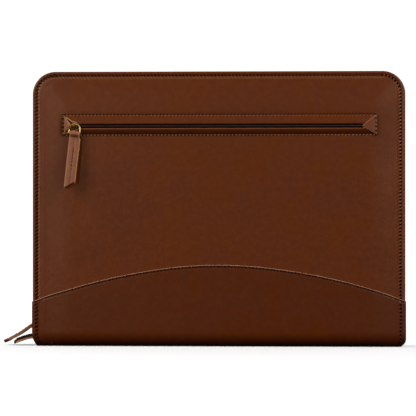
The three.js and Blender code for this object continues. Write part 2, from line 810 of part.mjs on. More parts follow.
// A band behind the panel, bent with it from side to side. Depths count from the tape's face.
function slotBand(xFrom, xTo, zFrom, zTo, depthFrom, depthTo) {
  const ends = [0, 0.04, 0.08, 0.12];
  const shares = [...ends, ...evenShares(3), ...ends.map((share) => 1 - share).reverse()];
  const rings = shares.map((share) => {
    const x = lerp(xFrom, xTo, share);
    const face = backFace(x, slotCentreZ) - panelLeather - clearance;
    return [
      new THREE.Vector3(x, -(face - depthFrom), zFrom),
      new THREE.Vector3(x, -(face - depthTo), zFrom),
      new THREE.Vector3(x, -(face - depthTo), zTo),
      new THREE.Vector3(x, -(face - depthFrom), zTo),
    ];
  });
  return solid(loft(rings));
}

function makeSlotTape(post) {
  const band = slotBand(
    slotSeamLeft - slotTapeOverlap,
    slotSeamRight + slotTapeOverlap,
    slotSeamBottom - slotTapeOverlap,
    slotSeamTop + slotTapeOverlap,
    0,
    tapeThickness,
  );
  return piece("pocket_zip_tape", geometryOf(band.subtract(post)), blackTape);
}

function makeSlotChain(post) {
  const band = slotBand(
    slotSeamLeft + tabMargin + clearance,
    slotRight + tabMargin,
    slotCentreZ - chainHalfWidth,
    slotCentreZ + chainHalfWidth,
    -chainTop,
    -chainSeat,
  );
  return piece("pocket_zip_chain", geometryOf(band.subtract(post)), blackCoil);
}

// A three-cornered tab. Each row of its curl gives the way to the point and the rise above what
// the tab lies on, and faceAt gives the surface that it follows.
function makeTab(name, baseX, reach, rise, curl, faceAt) {
  const route = curl.map((row) => ({ x: baseX + row.reach * reach, rise: clearance + row.rise * rise }));
  const rings = route.map(({ x, rise: lift }, i) => {
    const before = route[Math.max(i - 1, 0)];
    const after = route[Math.min(i + 1, route.length - 1)];
    const slope = new THREE.Vector2(after.x - before.x, after.rise - before.rise).normalize();
    const lean = new THREE.Vector2(-slope.y, slope.x).multiplyScalar(Math.sign(slope.x) * tabThickness);
    const share = curl[i].reach;
    const high = lerp(slotSeamTop, slotCentreZ + tabTipHalfWidth, share);
    const low = lerp(slotSeamBottom, slotCentreZ - tabTipHalfWidth, share);
    const heights = [0, ...evenShares(3), 1].map((s) => lerp(low, high, s));
    const under = heights.map((z) => new THREE.Vector3(x, -(faceAt(x, z) + lift), z));
    const over = under.map((p) => new THREE.Vector3(p.x + lean.x, p.y - lean.y, p.z));
    return [...over, ...under.reverse()];
  });
  return piece(name, loft(rings), leather);
}

const makeLiftedTab = () =>
  makeTab("pocket_tab_left", slotSeamLeft - tabMargin, liftedTabReach, liftedTabRise, tabCurl, backFace);

function makeFlatTab() {
  const rows = [0, ...evenShares(5), 1].map((share) => ({ reach: share, rise: 0 }));
  const reach = -(tabLength + tabMargin);
  return makeTab("pocket_tab_right", slotSeamRight + tabMargin, reach, 0, rows, frontFace);
}

// Sliders and pulls in their places

const slotFace = backFace(slotSliderX, slotCentreZ);
const slotSliderPlace = new THREE.Group();
slotSliderPlace.position.set(slotSliderX, -(slotFace - panelLeather - clearance), slotCentreZ);
slotSliderPlace.rotation.x = quarterTurn;
slotSliderPlace.updateMatrix();

const mainSliderPlace = new THREE.Group();
mainSliderPlace.position.set(-halfWidth + tapeFace, 0, mainSliderHeight);
mainSliderPlace.rotation.y = -quarterTurn;
mainSliderPlace.updateMatrix();

function postHole(place) {
  return solid(geometryOf(sliderPost(clearance)).applyMatrix4(place.matrix));
}

// A ring, hung at the point of its line that the bridge holds, and the strap on its bar.
function makePull(prefix, hold, strapLean, strapRoute) {
  const pull = new THREE.Group();
  const ring = piece(`${prefix}_pull_ring`, makeRing(), brass);
  ring.rotation.x = -ringTilt;
  ring.position.copy(hold).applyEuler(ring.rotation).negate();
  const strap = piece(`${prefix}_pull_strap`, makeStrap(strapRoute(ring.position)), strapHide);
  strap.position.copy(ring.position);
  strap.rotation.y = strapLean;
  pull.add(ring, strap);
  return pull;
}

// The slot's ring hangs with its left side under the bridge.
function makeSlotPull() {
  const hold = new THREE.Vector3(-ringHalfWidth, 0, slotRingHold);
  const route = () =>
    slotStrapRoute.map(
      (row) => new THREE.Vector3(0, -row.swing * slotStrapSwing, -row.along * slotStrapLength),
    );
  const pull = makePull("pocket", hold, slotStrapLean - slotRingLean, route);
  const holdX = -bridgeLength / 2 + bridgeThickness + clearance + wireRadius;
  const seat = new THREE.Vector3(holdX, 0, bridgeFloor + slotRingSeat);
  pull.position.copy(seat.applyMatrix4(slotSliderPlace.matrix));
  pull.rotation.y = slotRingLean;
  return pull;
}

// The main ring hangs in the zip's channel, with its bow under the bridge, and its strap bends
// out over the tail.
function makeMainPull() {
  const hold = new THREE.Vector3(0, 0, ringHeight);
  const holdX = -bridgeLength / 2 + bridgeThickness + clearance + wireRadius;
  const seat = new THREE.Vector3(holdX, 0, bridgeFloor + mainRingSeat);
  seat.applyMatrix4(mainSliderPlace.matrix);
  const exit = { out: 0, height: tailExitHeight + mainStrapExit };
  const route = (bar) => {
    const start = { out: -halfWidth - seat.x - bar.y, height: seat.z + bar.z };
    const points = [
      ...channelRoute.map((row) => ({
        out: lerp(start.out, exit.out, row.out),
        height: lerp(start.height, exit.height, row.drop),
      })),
      ...mainStrapRoute.map((row) => ({
        out: row.reach * mainStrapReach,
        height: exit.height - row.drop * mainStrapDrop,
      })),
    ];
    return points.map((p) => new THREE.Vector3(0, start.out - p.out, p.height - start.height));
  };
  const pull = makePull("main", hold, 0, route);
  pull.position.copy(seat);
  pull.rotation.z = -quarterTurn;
  return pull;
}

// The whole case

slotSliderPlace.add(piece("pocket_slider", makeSlider(), brass));
mainSliderPlace.add(piece("main_slider", makeSlider(), brass));

const documentCase = new THREE.Group();
documentCase.name = "leather_document_case";
documentCase.add(
  makeFrontPanel(),
  makeBackPanel(),
  makeWrap(),
  makeEdging("front_edging", -1),
  makeEdging("back_edging", 1),
  makeTape("zip_tape_front", -1, postHole(mainSliderPlace)),
  makeTape("zip_tape_back", 1, postHole(mainSliderPlace)),
  makeChain(postHole(mainSliderPlace)),
  makeTailTab(),
  makeSlotTape(postHole(slotSliderPlace)),
  makeSlotChain(postHole(slotSliderPlace)),
  makeLiftedTab(),
  makeFlatTab(),
  slotSliderPlace,
  mainSliderPlace,
  makeSlotPull(),
  makeMainPull(),
);

export default documentCase;
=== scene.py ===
"""Looks of a leather document case that stands on its spine.

Sizes are millimetres in the classes and become metres where a mesh is made.
The front faces -Y, +X is on the viewer's right and +Z is up.
"""

import logging
import math
from dataclasses import dataclass, replace
from enum import Enum
from typing import Any, Sequence

import bmesh
import bpy
import numpy as np
from mathutils import Matrix, Vector


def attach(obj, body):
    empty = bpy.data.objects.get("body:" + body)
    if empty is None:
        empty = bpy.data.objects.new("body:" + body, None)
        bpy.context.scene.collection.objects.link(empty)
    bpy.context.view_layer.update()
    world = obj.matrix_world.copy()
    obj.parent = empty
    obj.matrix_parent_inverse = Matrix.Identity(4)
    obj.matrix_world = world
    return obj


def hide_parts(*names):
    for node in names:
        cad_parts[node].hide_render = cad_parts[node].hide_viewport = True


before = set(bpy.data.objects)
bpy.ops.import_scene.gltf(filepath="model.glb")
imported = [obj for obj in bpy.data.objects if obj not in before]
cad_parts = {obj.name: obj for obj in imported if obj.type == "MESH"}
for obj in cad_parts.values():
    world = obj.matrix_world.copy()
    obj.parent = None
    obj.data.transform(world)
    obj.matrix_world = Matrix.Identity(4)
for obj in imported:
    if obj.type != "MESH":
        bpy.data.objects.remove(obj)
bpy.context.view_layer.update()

logging.basicConfig(level=logging.INFO, format="%(message)s")
log = logging.getLogger("document_case")

MM = 0.001
BODY = "root"


class Side(Enum):
    """A half of the case, with the sign of its Y."""

    FRONT = -1
    BACK = 1


# Helpers


def linear(hex_colour: str) -> tuple[float, float, float, float]:
    """Turns an sRGB hex colour into linear light.

    Args:
        hex_colour: The colour, as in "#5a2a1a".

    Returns:
        Red, green, blue and an alpha of 1.
    """
    parts = [int(hex_colour[i:i + 2], 16) / 255 for i in (1, 3, 5)]
    return tuple(p / 12.92 if p <= 0.04045 else ((p + 0.055) / 1.055) ** 2.4 for p in parts) + (1.0,)


def add_node(tree: bpy.types.NodeTree, kind: str, settings: dict[str, Any] | None = None,
             inputs: dict[Any, Any] | None = None) -> bpy.types.Node:
    """Adds a node with its settings and links.

    Args:
        tree: The tree that gets the node.
        kind: The node's type.
        settings: Values of the node's own properties.
        inputs: Values or sockets for its inputs, by name or number.

    Returns:
        The new node.
    """
    node = tree.nodes.new(kind)
    for name, value in (settings or {}).items():
        setattr(node, name, value)
    for key, value in (inputs or {}).items():
        if isinstance(value, bpy.types.NodeSocket):
            tree.links.new(value, node.inputs[key])
        else:
            node.inputs[key].default_value = value
    return node


def smooth(t: np.ndarray) -> np.ndarray:
    """Eases a share from 0 to 1, level at both ends."""
    t = np.clip(t, 0, 1)
    return t * t * (3 - 2 * t)


def bell(distance: np.ndarray, width: float) -> np.ndarray:
    """Gives 1 at a line and falls away at a distance of about the width."""
    return np.exp(-((distance / width) ** 2))


@dataclass(frozen=True)
class Band:
    """A soft line of relief or shade: where its middle lies, its width and its height."""

    middle: float
    width: float
    height: float = 1.0

    def at(self, distance: np.ndarray) -> np.ndarray:
        """The band's height at a distance."""
        return self.height * bell(distance - self.middle, self.width)


def spread(lines: Sequence[float], low: float, high: float, step: float) -> list[float]:
    """Fills the gaps between chosen lines.

    Args:
        lines: Lines that must be kept.
        low: The lowest line.
        high: The highest line.
        step: The widest gap that may stay.

    Returns:
        All the lines in order.
    """
    kept = sorted({low, high, *[v for v in lines if low < v < high]})
    out = [kept[0]]
    for a, b in zip(kept, kept[1:]):
        count = max(1, math.ceil((b - a) / step))
        out += [a + (b - a) * i / count for i in range(1, count + 1)]
    return out


class MeshDraft:
    """Points, faces and marks of one piece while it is built.

    A mark is a number from 0 to 1 on each point that the materials read.
    """

    # The seam mark is painted shade in grooves, creases, undersides and on faces turned from the light. The
    # second mark lightens worn edges and paints highlights. The raw mark gives cut edges their colour and
    # paints highlights on pucker crests.
    MARKS = ("raw", "seam", "rub")

    def __init__(self) -> None:
        """Starts an empty draft."""
        self.points: list[np.ndarray] = []
        self.faces: list[tuple[int, ...]] = []
        self.marks: dict[str, list[np.ndarray]] = {name: [] for name in self.MARKS}
        self.count = 0

    def add_points(self, points: np.ndarray, **marks: Any) -> np.ndarray:
        """Adds points of any grid shape.

        Args:
            points: An array whose last axis is X, Y and Z in millimetres.
            marks: Marks by name, each one number or an array like the grid.

        Returns:
            The points' numbers in the grid's shape.
        """
        shape = points.shape[:-1]
        size = int(np.prod(shape))
        self.points.append(points.reshape(size, 3))
        for name in self.MARKS:
            value = np.broadcast_to(np.asarray(marks.get(name, 0.0), float), shape)
            self.marks[name].append(value.reshape(size))
        index = np.arange(self.count, self.count + size).reshape(shape)
        self.count += size
        return index

    def add_quads(self, index: np.ndarray, keep: np.ndarray | None = None) -> None:
        """Joins a grid of point numbers with four-sided faces.

        Args:
            index: Point numbers in rows and columns.
            keep: Which cells get a face, all of them if left out.
        """
        quads = np.stack([index[:-1, :-1], index[1:, :-1], index[1:, 1:], index[:-1, 1:]], axis=-1)
        if keep is not None:
            quads = quads[keep]
        self.faces += [tuple(int(v) for v in q) for q in quads.reshape(-1, 4)]

    def add_ring(self, index: np.ndarray) -> None:
        """Joins a grid whose columns form a closed loop."""
        self.add_quads(np.concatenate([index, index[:, :1]], axis=1))

    def add_tube(self, rings: np.ndarray, **marks: Any) -> None:
        """Joins closed rings of points and caps both ends.

        Args:
            rings: The rings, all with the same number of points.
            marks: Marks by name, in the rings' shape.
        """
        index = self.add_points(rings, **marks)
        self.add_ring(index)
        self.faces += [tuple(int(v) for v in index[end]) for end in (0, -1)]

    def add_three_to_one(self, coarse: np.ndarray, fine: np.ndarray) -> None:
        """Joins a coarse line to a line with three times as many spans."""
        for i in range(len(coarse) - 1):
            c, d = int(coarse[i]), int(coarse[i + 1])
            a, b, e, g = (int(v) for v in fine[3 * i:3 * i + 4])
            self.faces += [(c, a, b), (c, b, e, d), (d, e, g)]

    def build(self, name: str, fill: bool = False) -> bpy.types.Object:
        """Makes the piece as an object at the origin.

        Args:
            name: The piece's name.
            fill: Whether open edges are closed with flat faces.

        Returns:
            The object, merged, closed and facing out.
        """
        mesh = bpy.data.meshes.new(name)
        points = np.concatenate(self.points) * MM
        mesh.from_pydata(points.tolist(), [], self.faces)
        for key in self.MARKS:
            attribute = mesh.attributes.new(key, "FLOAT", "POINT")
            attribute.data.foreach_set("value", np.concatenate(self.marks[key]).astype(np.float32))
        return finished_object(name, mesh, fill)


def finished_object(name: str, mesh: bpy.types.Mesh, fill: bool = False) -> bpy.types.Object:
    """Merges doubles, closes open edges, turns the faces out and links the object.

    Args:
        name: The piece's name.
        mesh: Its mesh.
        fill: Whether open edges are closed with flat faces.

    Returns:
        The object.
    """
    work = bmesh.new()
    work.from_mesh(mesh)
    bmesh.ops.remove_doubles(work, verts=work.verts, dist=2e-6)
    bmesh.ops.dissolve_degenerate(work, dist=1e-7, edges=work.edges)
    if fill:
        edges = [e for e in work.edges if e.is_boundary]
        if edges:
            bmesh.ops.triangle_fill(work, use_beauty=True, use_dissolve=False, edges=edges)
    bmesh.ops.recalc_face_normals(work, faces=work.faces)
    for face in work.faces:
        face.smooth = True
    work.to_mesh(mesh)
    work.free()
    piece = bpy.data.objects.new(name, mesh)
    bpy.context.scene.collection.objects.link(piece)
    return piece


def seat(piece: bpy.types.Object, material: bpy.types.Material, slot: str, *nodes: str) -> None:
    """Dresses a piece, rides it on the case and lets it stand for its solids.

    Args:
        piece: The piece.
        material: Its material.
        slot: The record's material slot. It is not used.
        nodes: Solids that it replaces.
    """
    piece.data.materials.clear()
    piece.data.materials.append(material)
    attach(piece, BODY)
    if nodes:
        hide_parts(*nodes)
    count = sum(len(p.vertices) - 2 for p in piece.data.polygons)
    log.info("%s: %d triangles", piece.name, count)


def join(name: str, parts: Sequence[bpy.types.Object]) -> bpy.types.Object:
    """Joins objects into one mesh.

    Args:
        name: Name of the joined object.
        parts: The objects, which are removed.

    Returns:
        The joined object.
    """
    work = bmesh.new()
    for part in parts:
        work.from_mesh(part.data)
    mesh = bpy.data.meshes.new(name)
    work.to_mesh(mesh)
    work.free()
    for part in parts:
        bpy.data.objects.remove(part)
    joined = bpy.data.objects.new(name, mesh)
    bpy.context.scene.collection.objects.link(joined)
    return joined


# Form of the case


@dataclass(frozen=True)
class CaseForm:
    """Sizes of the closed case and the surfaces that its pieces share."""

    width: float = 350.0
    height: float = 258.5
    corner: float = 21.5
    border_depth: float = 12.0
    clearance: float = 0.3
    panel_leather: float = 1.6
    wrap_leather: float = 1.4
    edging_leather: float = 1.4
    crown_height: float = 3.2
    crown_band: float = 34.0
    border_width: float = 4.0
    panel_foot: float = 13.0
    foot_radius: float = 20.0
    right_foot: float = 7.5
    foot_start: float = 13.0
    arch_peak: float = 76.2
    arch_rise: float = 33.3
    spine_half: float = 8.0
    spine_roll: float = 14.0
    overhang: float = 0.6
    tape_inset: float = 9.05
    tape_thickness: float = 0.7
    wall_inset: float = 7.0
    wall_end: float = 6.5
    tape_half: float = 8.2
    stitch_inset: float = 3.75
    stitch_pitch: float = 3.3
    seam_left: float = -145.7
    seam_right: float = 147.4
    seam_top: float = 218.0
    seam_bottom: float = 198.5
    slot_z: float = 206.8
    slot_half: float = 2.0
    slot_corner_x: float = -144.7
    slot_end_x: float = 135.8
    tab_length: float = 12.6
    lip_rise: float = 2.0

    arch_shift: float = 0.55

    # Waves in the arch's edge, which is cut by hand
    ARCH_WAVES = (Band(128.0, 52.0, 1.6), Band(-115.0, 30.0, 0.3), Band(-174.0, 9.0, -1.2),
                  Band(176.0, 12.0, -1.0))

    # Relief of a border, from its edge inwards
    EDGE_ROLL = 1.1
    STRIP = Band(2.0, 1.1, 0.2)
    GROOVE_WIDTH = 1.0
    GROOVE_DEPTH = 0.34
    GROOVE_WAVE = 0.1
    RIDGE = Band(6.4, 0.85, 0.3)
    PRESSED_LINE = Band(10.6, 0.8, -0.12)

    # Painted highlights on the pucker crests: inside the seam on the left, inside it on top, and outside it
    # on the right
    PUCKERS = (Band(6.2, 0.8), Band(5.6, 1.1, 0.45), Band(1.9, 0.8, 0.5))
    PUCKER_SLOPE = 0.9
    CORNER_CALM = 0.85  # how much lower the ridge is in the middle of a corner

    @property
    def half(self) -> float:
        """Half of the case's width."""
        return self.width / 2

    @property
    def straight(self) -> float:
        """Half width of the part between the rounded corners."""
        return self.half - self.corner

    @property
    def shoulder(self) -> float:
        """Height where the rounded corners start."""
        return self.height - self.corner

    def inset(self, x: np.ndarray, z: np.ndarray) -> np.ndarray:
        """Distance of points inside the sides and the top."""
        past_x = np.abs(x) - self.straight
        past_z = z - self.shoulder
        rounded = self.corner - np.hypot(past_x, past_z)
        plain = np.minimum(self.half - np.abs(x), self.height - z)
        return np.where((past_x > 0) & (past_z > 0), rounded, plain)

    def crown(self, inset: np.ndarray) -> np.ndarray:
        """How far a padded panel swells out past its border."""
        t = np.clip((inset - self.border_width) / self.crown_band, 0, 1)
        return self.crown_height * (1 - (1 - t) ** 2)

    def lip(self, x: np.ndarray, z: np.ndarray) -> np.ndarray:
        """How far the lips beside the slot stand out."""
        above = (self.seam_top - z) / (self.seam_top - self.slot_z - self.slot_half)
        below = (z - self.seam_bottom) / (self.slot_z - self.slot_half - self.seam_bottom)
        right = (self.seam_right - x) / self.tab_length
        left = (x - self.seam_left) / self.tab_length
        t = np.clip(np.minimum(np.minimum(above, below), np.minimum(right, left)), 0, 1)
        return self.lip_rise * (1 - (1 - t) ** 2)

    def face(self, x: np.ndarray, z: np.ndarray, lips: bool) -> np.ndarray:
        """Depth of a panel's plain outer face."""
        depth = self.border_depth + self.crown(self.inset(x, z))
        return depth + (self.lip(x, z) if lips else 0.0)

    def arch(self, x: np.ndarray) -> np.ndarray:
        """Height of the wrap's upper edge, which is cut by hand and a little uneven."""
        wander = self.arch_shift + sum(wave.at(x) for wave in self.ARCH_WAVES)
        return self.arch_peak - self.arch_rise * (1 - np.cos(np.pi * x / self.width)) + wander

    def foot_limit(self, z: np.ndarray, grow: float, hand: Any = -1) -> np.ndarray:
        """Half width of the outline at a height, grown by a margin.

        Args:
            z: The height.
            grow: The margin.
            hand: Sign of the side. The wrap sits squarer on the right.
        """
        drop = np.clip(self.foot_start - z, 0, None)
        radius = self.foot_radius + grow
        left = self.half - self.foot_radius + np.sqrt(radius ** 2 - drop ** 2)
        tight = self.right_foot
        right = self.half + grow - tight + np.sqrt(tight ** 2 - np.clip(tight - z, 0, tight) ** 2)
        return np.where(np.asarray(hand) > 0, np.maximum(left, right), left)

    def border_relief(self, inset: np.ndarray, run: np.ndarray, turn: Any = 0.0) -> np.ndarray:
        """Rounded edge strip, stitched groove and puckered ridge of a border.

        Args:
            inset: Distance inside the edge.
            run: Distance along the seam.
            turn: How far round a corner it lies, 1 in the middle, where the ridge is low.

        Returns:
            How far the surface stands out past the plain face.
        """
        wave = np.cos(2 * np.pi * run / self.stitch_pitch)
        past = np.clip(self.EDGE_ROLL - inset, 0, self.EDGE_ROLL)
        edge = np.sqrt(self.EDGE_ROLL ** 2 - past ** 2) - self.EDGE_ROLL
        depth = self.GROOVE_DEPTH + self.GROOVE_WAVE * wave
        groove = -depth * bell(inset - self.stitch_inset, self.GROOVE_WIDTH)
        ridge = (1 - self.CORNER_CALM * turn) * (1 + self.slanted_wave(inset, run)) * self.RIDGE.at(inset)
        return edge + self.STRIP.at(inset) + groove + ridge + self.PRESSED_LINE.at(inset)

    def slanted_wave(self, inset: np.ndarray, run: np.ndarray) -> np.ndarray:
        """The wave of the slanted puckers that the stitches draw, from -1 to 1."""
        along = run - self.PUCKER_SLOPE * (inset - self.wall_inset)
        return np.cos(2 * np.pi * along / self.stitch_pitch)

    def puckers(self, x: np.ndarray, z: np.ndarray, inset: np.ndarray, run: np.ndarray) -> np.ndarray:
        """Where the crests between a border's stitches get painted highlights.

        Args:
            x: X of the points.
            z: Z of the points.
            inset: Their distance inside the edge.
            run: Their distance along the seam.

        Returns:
            A share from 0 to 1.
        """
        left, top, right = (band.at(inset) for band in self.PUCKERS)
        over = z > self.shoulder + 0.7 * self.corner
        crest = np.clip(self.slanted_wave(inset, run), 0, 1)
        return crest * np.where(over, top, np.where(x > self.straight, right, left))

    def ripple(self, x: np.ndarray, z: np.ndarray) -> np.ndarray:
        """Slow unevenness of a padded leather face, far too low to see as shape."""
        slow = np.sin(x / 41.0 + 1.3) * np.sin(z / 37.0 + 0.4)
        quick = np.sin(x / 19.0 + z / 23.0) * np.sin(z / 17.0 - x / 29.0 + 2.0)
        return 0.10 * slow + 0.05 * quick

    def rim(self, inset: float, low: float, step: float) -> np.ndarray:
        """Points up the left side, over the top and down the right side.

        Args:
            inset: Distance inside the edge.
            low: Height of both ends.
            step: Distance between points.

        Returns:
            Rows of X, Z, inward X and inward Z.
        """
        side = self.half - inset
        radius = self.corner - inset
        up = max(2, round((self.shoulder - low) / step))
        turn = max(6, round(radius * math.pi / 2 / step))
        over = max(2, round(2 * self.straight / step))
        rows: list[tuple[float, float, float, float]] = []
        for i in range(up):
            rows.append((-side, low + (self.shoulder - low) * i / up, 1, 0))
        for i in range(turn):
            a = math.pi - math.pi / 2 * i / turn
            rows.append((-self.straight + radius * math.cos(a), self.shoulder + radius * math.sin(a),
                         -math.cos(a), -math.sin(a)))
        for i in range(over + 1):
            rows.append((-self.straight + 2 * self.straight * i / over, self.height - inset, 0, -1))
        rows += [(-x, z, -ix, iz) for x, z, ix, iz in reversed(rows[:up + turn])]
        return np.array(rows)


FORM = CaseForm()


# Repeated details


class PathTree:
    """A node tree that lays one small bent rod on each point of a path.

    The path is a line of points with a "facing" direction. Each rod is an arc across its own X
    or Y, and every second one may be turned round, which makes both rows of a zip's coil.
    """

    SIZES = {
        "Pitch": 3.3,
        "Radius": 0.3,
        "Reach Start": -1.2,
        "Reach End": 1.2,
        "Rise": 0.5,
        "Sink": -0.1,
        "Slant": 0.0,
        "Half Turn": 0.0,
    }

    def __init__(self, name: str) -> None:
        """Builds the tree.

        Args:
            name: The tree's name.
        """
        self.tree = bpy.data.node_groups.new(name, "GeometryNodeTree")
        face = self.tree.interface
        face.new_socket("Geometry", in_out="INPUT", socket_type="NodeSocketGeometry")
        self.sockets = {}
        for size, value in self.SIZES.items():
            socket = face.new_socket(size, in_out="INPUT", socket_type="NodeSocketFloat")
            socket.default_value = value
            self.sockets[size] = socket.identifier
        socket = face.new_socket("Material", in_out="INPUT", socket_type="NodeSocketMaterial")
        self.sockets["Material"] = socket.identifier
        face.new_socket("Geometry", in_out="OUTPUT", socket_type="NodeSocketGeometry")
        self.fill()

    def fill(self) -> None:
        """Adds the nodes."""
        tree = self.tree
        given = add_node(tree, "NodeGroupInput").outputs
        curve = add_node(tree, "GeometryNodeMeshToCurve", inputs={"Mesh": given["Geometry"]})
        points = add_node(tree, "GeometryNodeResampleCurve", {"mode": "LENGTH"},
                          {"Curve": curve.outputs[0], "Length": given["Pitch"]})
        tangent = add_node(tree, "GeometryNodeInputTangent")
        facing = add_node(tree, "GeometryNodeInputNamedAttribute", {"data_type": "FLOAT_VECTOR"},
                          {"Name": "facing"})
        along = add_node(tree, "FunctionNodeAlignRotationToVector", {"axis": "X"},
                         {"Vector": tangent.outputs[0]})
        upright = add_node(tree, "FunctionNodeAlignRotationToVector", {"axis": "Z", "pivot_axis": "X"},
                           {"Rotation": along.outputs[0], "Vector": facing.outputs["Attribute"]})
        index = add_node(tree, "GeometryNodeInputIndex")
        odd = add_node(tree, "ShaderNodeMath", {"operation": "MODULO"}, {0: index.outputs[0], 1: 2.0})
        turn = add_node(tree, "ShaderNodeMath", {"operation": "MULTIPLY_ADD"},
                        {0: odd.outputs[0], 1: given["Half Turn"], 2: given["Slant"]})
        spin = add_node(tree, "FunctionNodeAxisAngleToRotation",
                        inputs={"Axis": (0, 0, 1), "Angle": turn.outputs[0]})
        turned = add_node(tree, "FunctionNodeRotateRotation", {"rotation_space": "LOCAL"},
                          {"Rotation": upright.outputs[0], "Rotate By": spin.outputs[0]})
        start = add_node(tree, "ShaderNodeCombineXYZ", inputs={"X": given["Reach Start"], "Z": given["Sink"]})
        end = add_node(tree, "ShaderNodeCombineXYZ", inputs={"X": given["Reach End"], "Z": given["Sink"]})
        top = add_node(tree, "ShaderNodeCombineXYZ", inputs={"Z": given["Rise"]})
        arc = add_node(tree, "GeometryNodeCurveQuadraticBezier",
                       inputs={"Resolution": 5, "Start": start.outputs[0], "Middle": top.outputs[0],
                               "End": end.outputs[0]})
        section = add_node(tree, "GeometryNodeCurvePrimitiveCircle",
                           inputs={"Resolution": 6, "Radius": given["Radius"]})
        rod = add_node(tree, "GeometryNodeCurveToMesh",
                       inputs={"Curve": arc.outputs[0], "Profile Curve": section.outputs[0],
                               "Fill Caps": True})
        copies = add_node(tree, "GeometryNodeInstanceOnPoints",
                          inputs={"Points": points.outputs[0], "Instance": rod.outputs[0],
                                  "Rotation": turned.outputs[0]})
        real = add_node(tree, "GeometryNodeRealizeInstances", inputs={"Geometry": copies.outputs[0]})
        dressed = add_node(tree, "GeometryNodeSetMaterial",
                           inputs={"Geometry": real.outputs[0], "Material": given["Material"]})
        add_node(tree, "NodeGroupOutput", inputs={"Geometry": dressed.outputs[0]})

    def run(self, name: str, paths: Sequence[tuple[np.ndarray, np.ndarray]], material: bpy.types.Material,
            **sizes: float) -> bpy.types.Object:
        """Lays rods along paths and turns them into a plain mesh.

        Args:
            name: Name of the new object.
            paths: Points and facing directions of each path, in millimetres.
            material: Material of the rods.
            sizes: Sizes in millimetres or radians, with low lines for the spaces in their names.

        Returns:
            The plain mesh object.
        """
        mesh = bpy.data.meshes.new(name + "_path")
        points = np.concatenate([p for p, _ in paths]) * MM
        facing = np.concatenate([f for _, f in paths])
        edges: list[tuple[int, int]] = []
        start = 0
        for path, _ in paths:
            edges += [(start + i, start + i + 1) for i in range(len(path) - 1)]
            start += len(path)
        mesh.from_pydata(points.tolist(), edges, [])
        mesh.attributes.new("facing", "FLOAT_VECTOR", "POINT").data.foreach_set("vector", facing.ravel())
        carrier = bpy.data.objects.new(name + "_path", mesh)
        bpy.context.scene.collection.objects.link(carrier)
        modifier = carrier.modifiers.new("rods", "NODES")
        modifier.node_group = self.tree
        for size, value in self.SIZES.items():
            chosen = sizes.get(size.replace(" ", "_").lower(), value)
            angle = size in ("Slant", "Half Turn")
            modifier[self.sockets[size]] = float(chosen if angle else chosen * MM)
        modifier[self.sockets["Material"]] = material
        bpy.context.view_layer.update()
        shown = carrier.evaluated_get(bpy.context.evaluated_depsgraph_get())
        plain = bpy.data.meshes.new_from_object(shown)
        bpy.data.objects.remove(carrier)
        plain.name = name
        for polygon in plain.polygons:
            polygon.use_smooth = True
        made = bpy.data.objects.new(name, plain)
        bpy.context.scene.collection.objects.link(made)
        return made


def trimmed(path: tuple[np.ndarray, np.ndarray], start: float) -> tuple[np.ndarray, np.ndarray]:
    """Cuts the first stretch off a path.

    Args:
        path: Points and facing directions.
        start: Length that is cut off.

    Returns:
        The shorter path.
    """
    points, facing = path
    run = np.concatenate([[0], np.cumsum(np.linalg.norm(np.diff(points, axis=0), axis=1))])
    rest = run > start + 1e-6
    first = np.array([np.interp(start, run, column) for column in points.T])
    return np.concatenate([[first], points[rest]]), np.concatenate([[facing[rest][0]], facing[rest]])


@dataclass(frozen=True)
class Seam:
    """A sewn line: threads that bridge slanted slits in the leather."""

    tree: PathTree
    thread: bpy.types.Material
    slit: bpy.types.Material
    pitch: float = 3.3
    thread_radius: float = 0.34
    slit_radius: float = 0.36
    slit_half: float = 0.75
    slit_slant: float = math.radians(55)
    thread_slant: float = math.radians(8)
    lift: float = 0.0
    drop: float = 0.0  # how far below the slits the threads lie
    gap: float = 0.3  # half the space between two threads

    def sew(self, name: str, paths: Sequence[tuple[np.ndarray, np.ndarray]], slot: str) -> None:
        """Sews along paths.

        Args:
            name: Name of the stitches.
            paths: Points and facing directions of each path.
            slot: The record's material slot.
        """
        reach = self.pitch / 2 - self.gap
        lines = [trimmed((points - (0, 0, self.drop), facing), self.pitch / 2) for points, facing in paths]
        threads = self.tree.run(name, lines, self.thread,
                                pitch=self.pitch, radius=self.thread_radius, reach_start=-reach,
                                reach_end=reach, rise=0.7 + self.lift, sink=-0.25 + self.lift,
                                slant=self.thread_slant)
        # The slits are near-black rods on the surface: painted shade of their deep insides.
        slits = self.tree.run(name.replace("stitches", "slits"), paths, self.slit, pitch=self.pitch,
                              radius=self.slit_radius, reach_start=-self.slit_half,
                              reach_end=self.slit_half, rise=0.1 + self.lift, sink=-0.1 + self.lift,
                              slant=self.slit_slant)
        seat(threads, self.thread, slot)
        seat(slits, self.slit, slot)


# Finishes


def blank_material(name: str) -> tuple[bpy.types.Material, bpy.types.NodeTree, bpy.types.NodeSocket]:
    """Starts a material with no nodes but its Object coordinates.

    Args:
        name: The material's name.

    Returns:
        The material, its tree and the socket of its coordinates.
    """
    material = bpy.data.materials.new(name)
    material.use_nodes = True
    tree = material.node_tree
    tree.nodes.clear()
    return material, tree, add_node(tree, "ShaderNodeTexCoord").outputs["Object"]


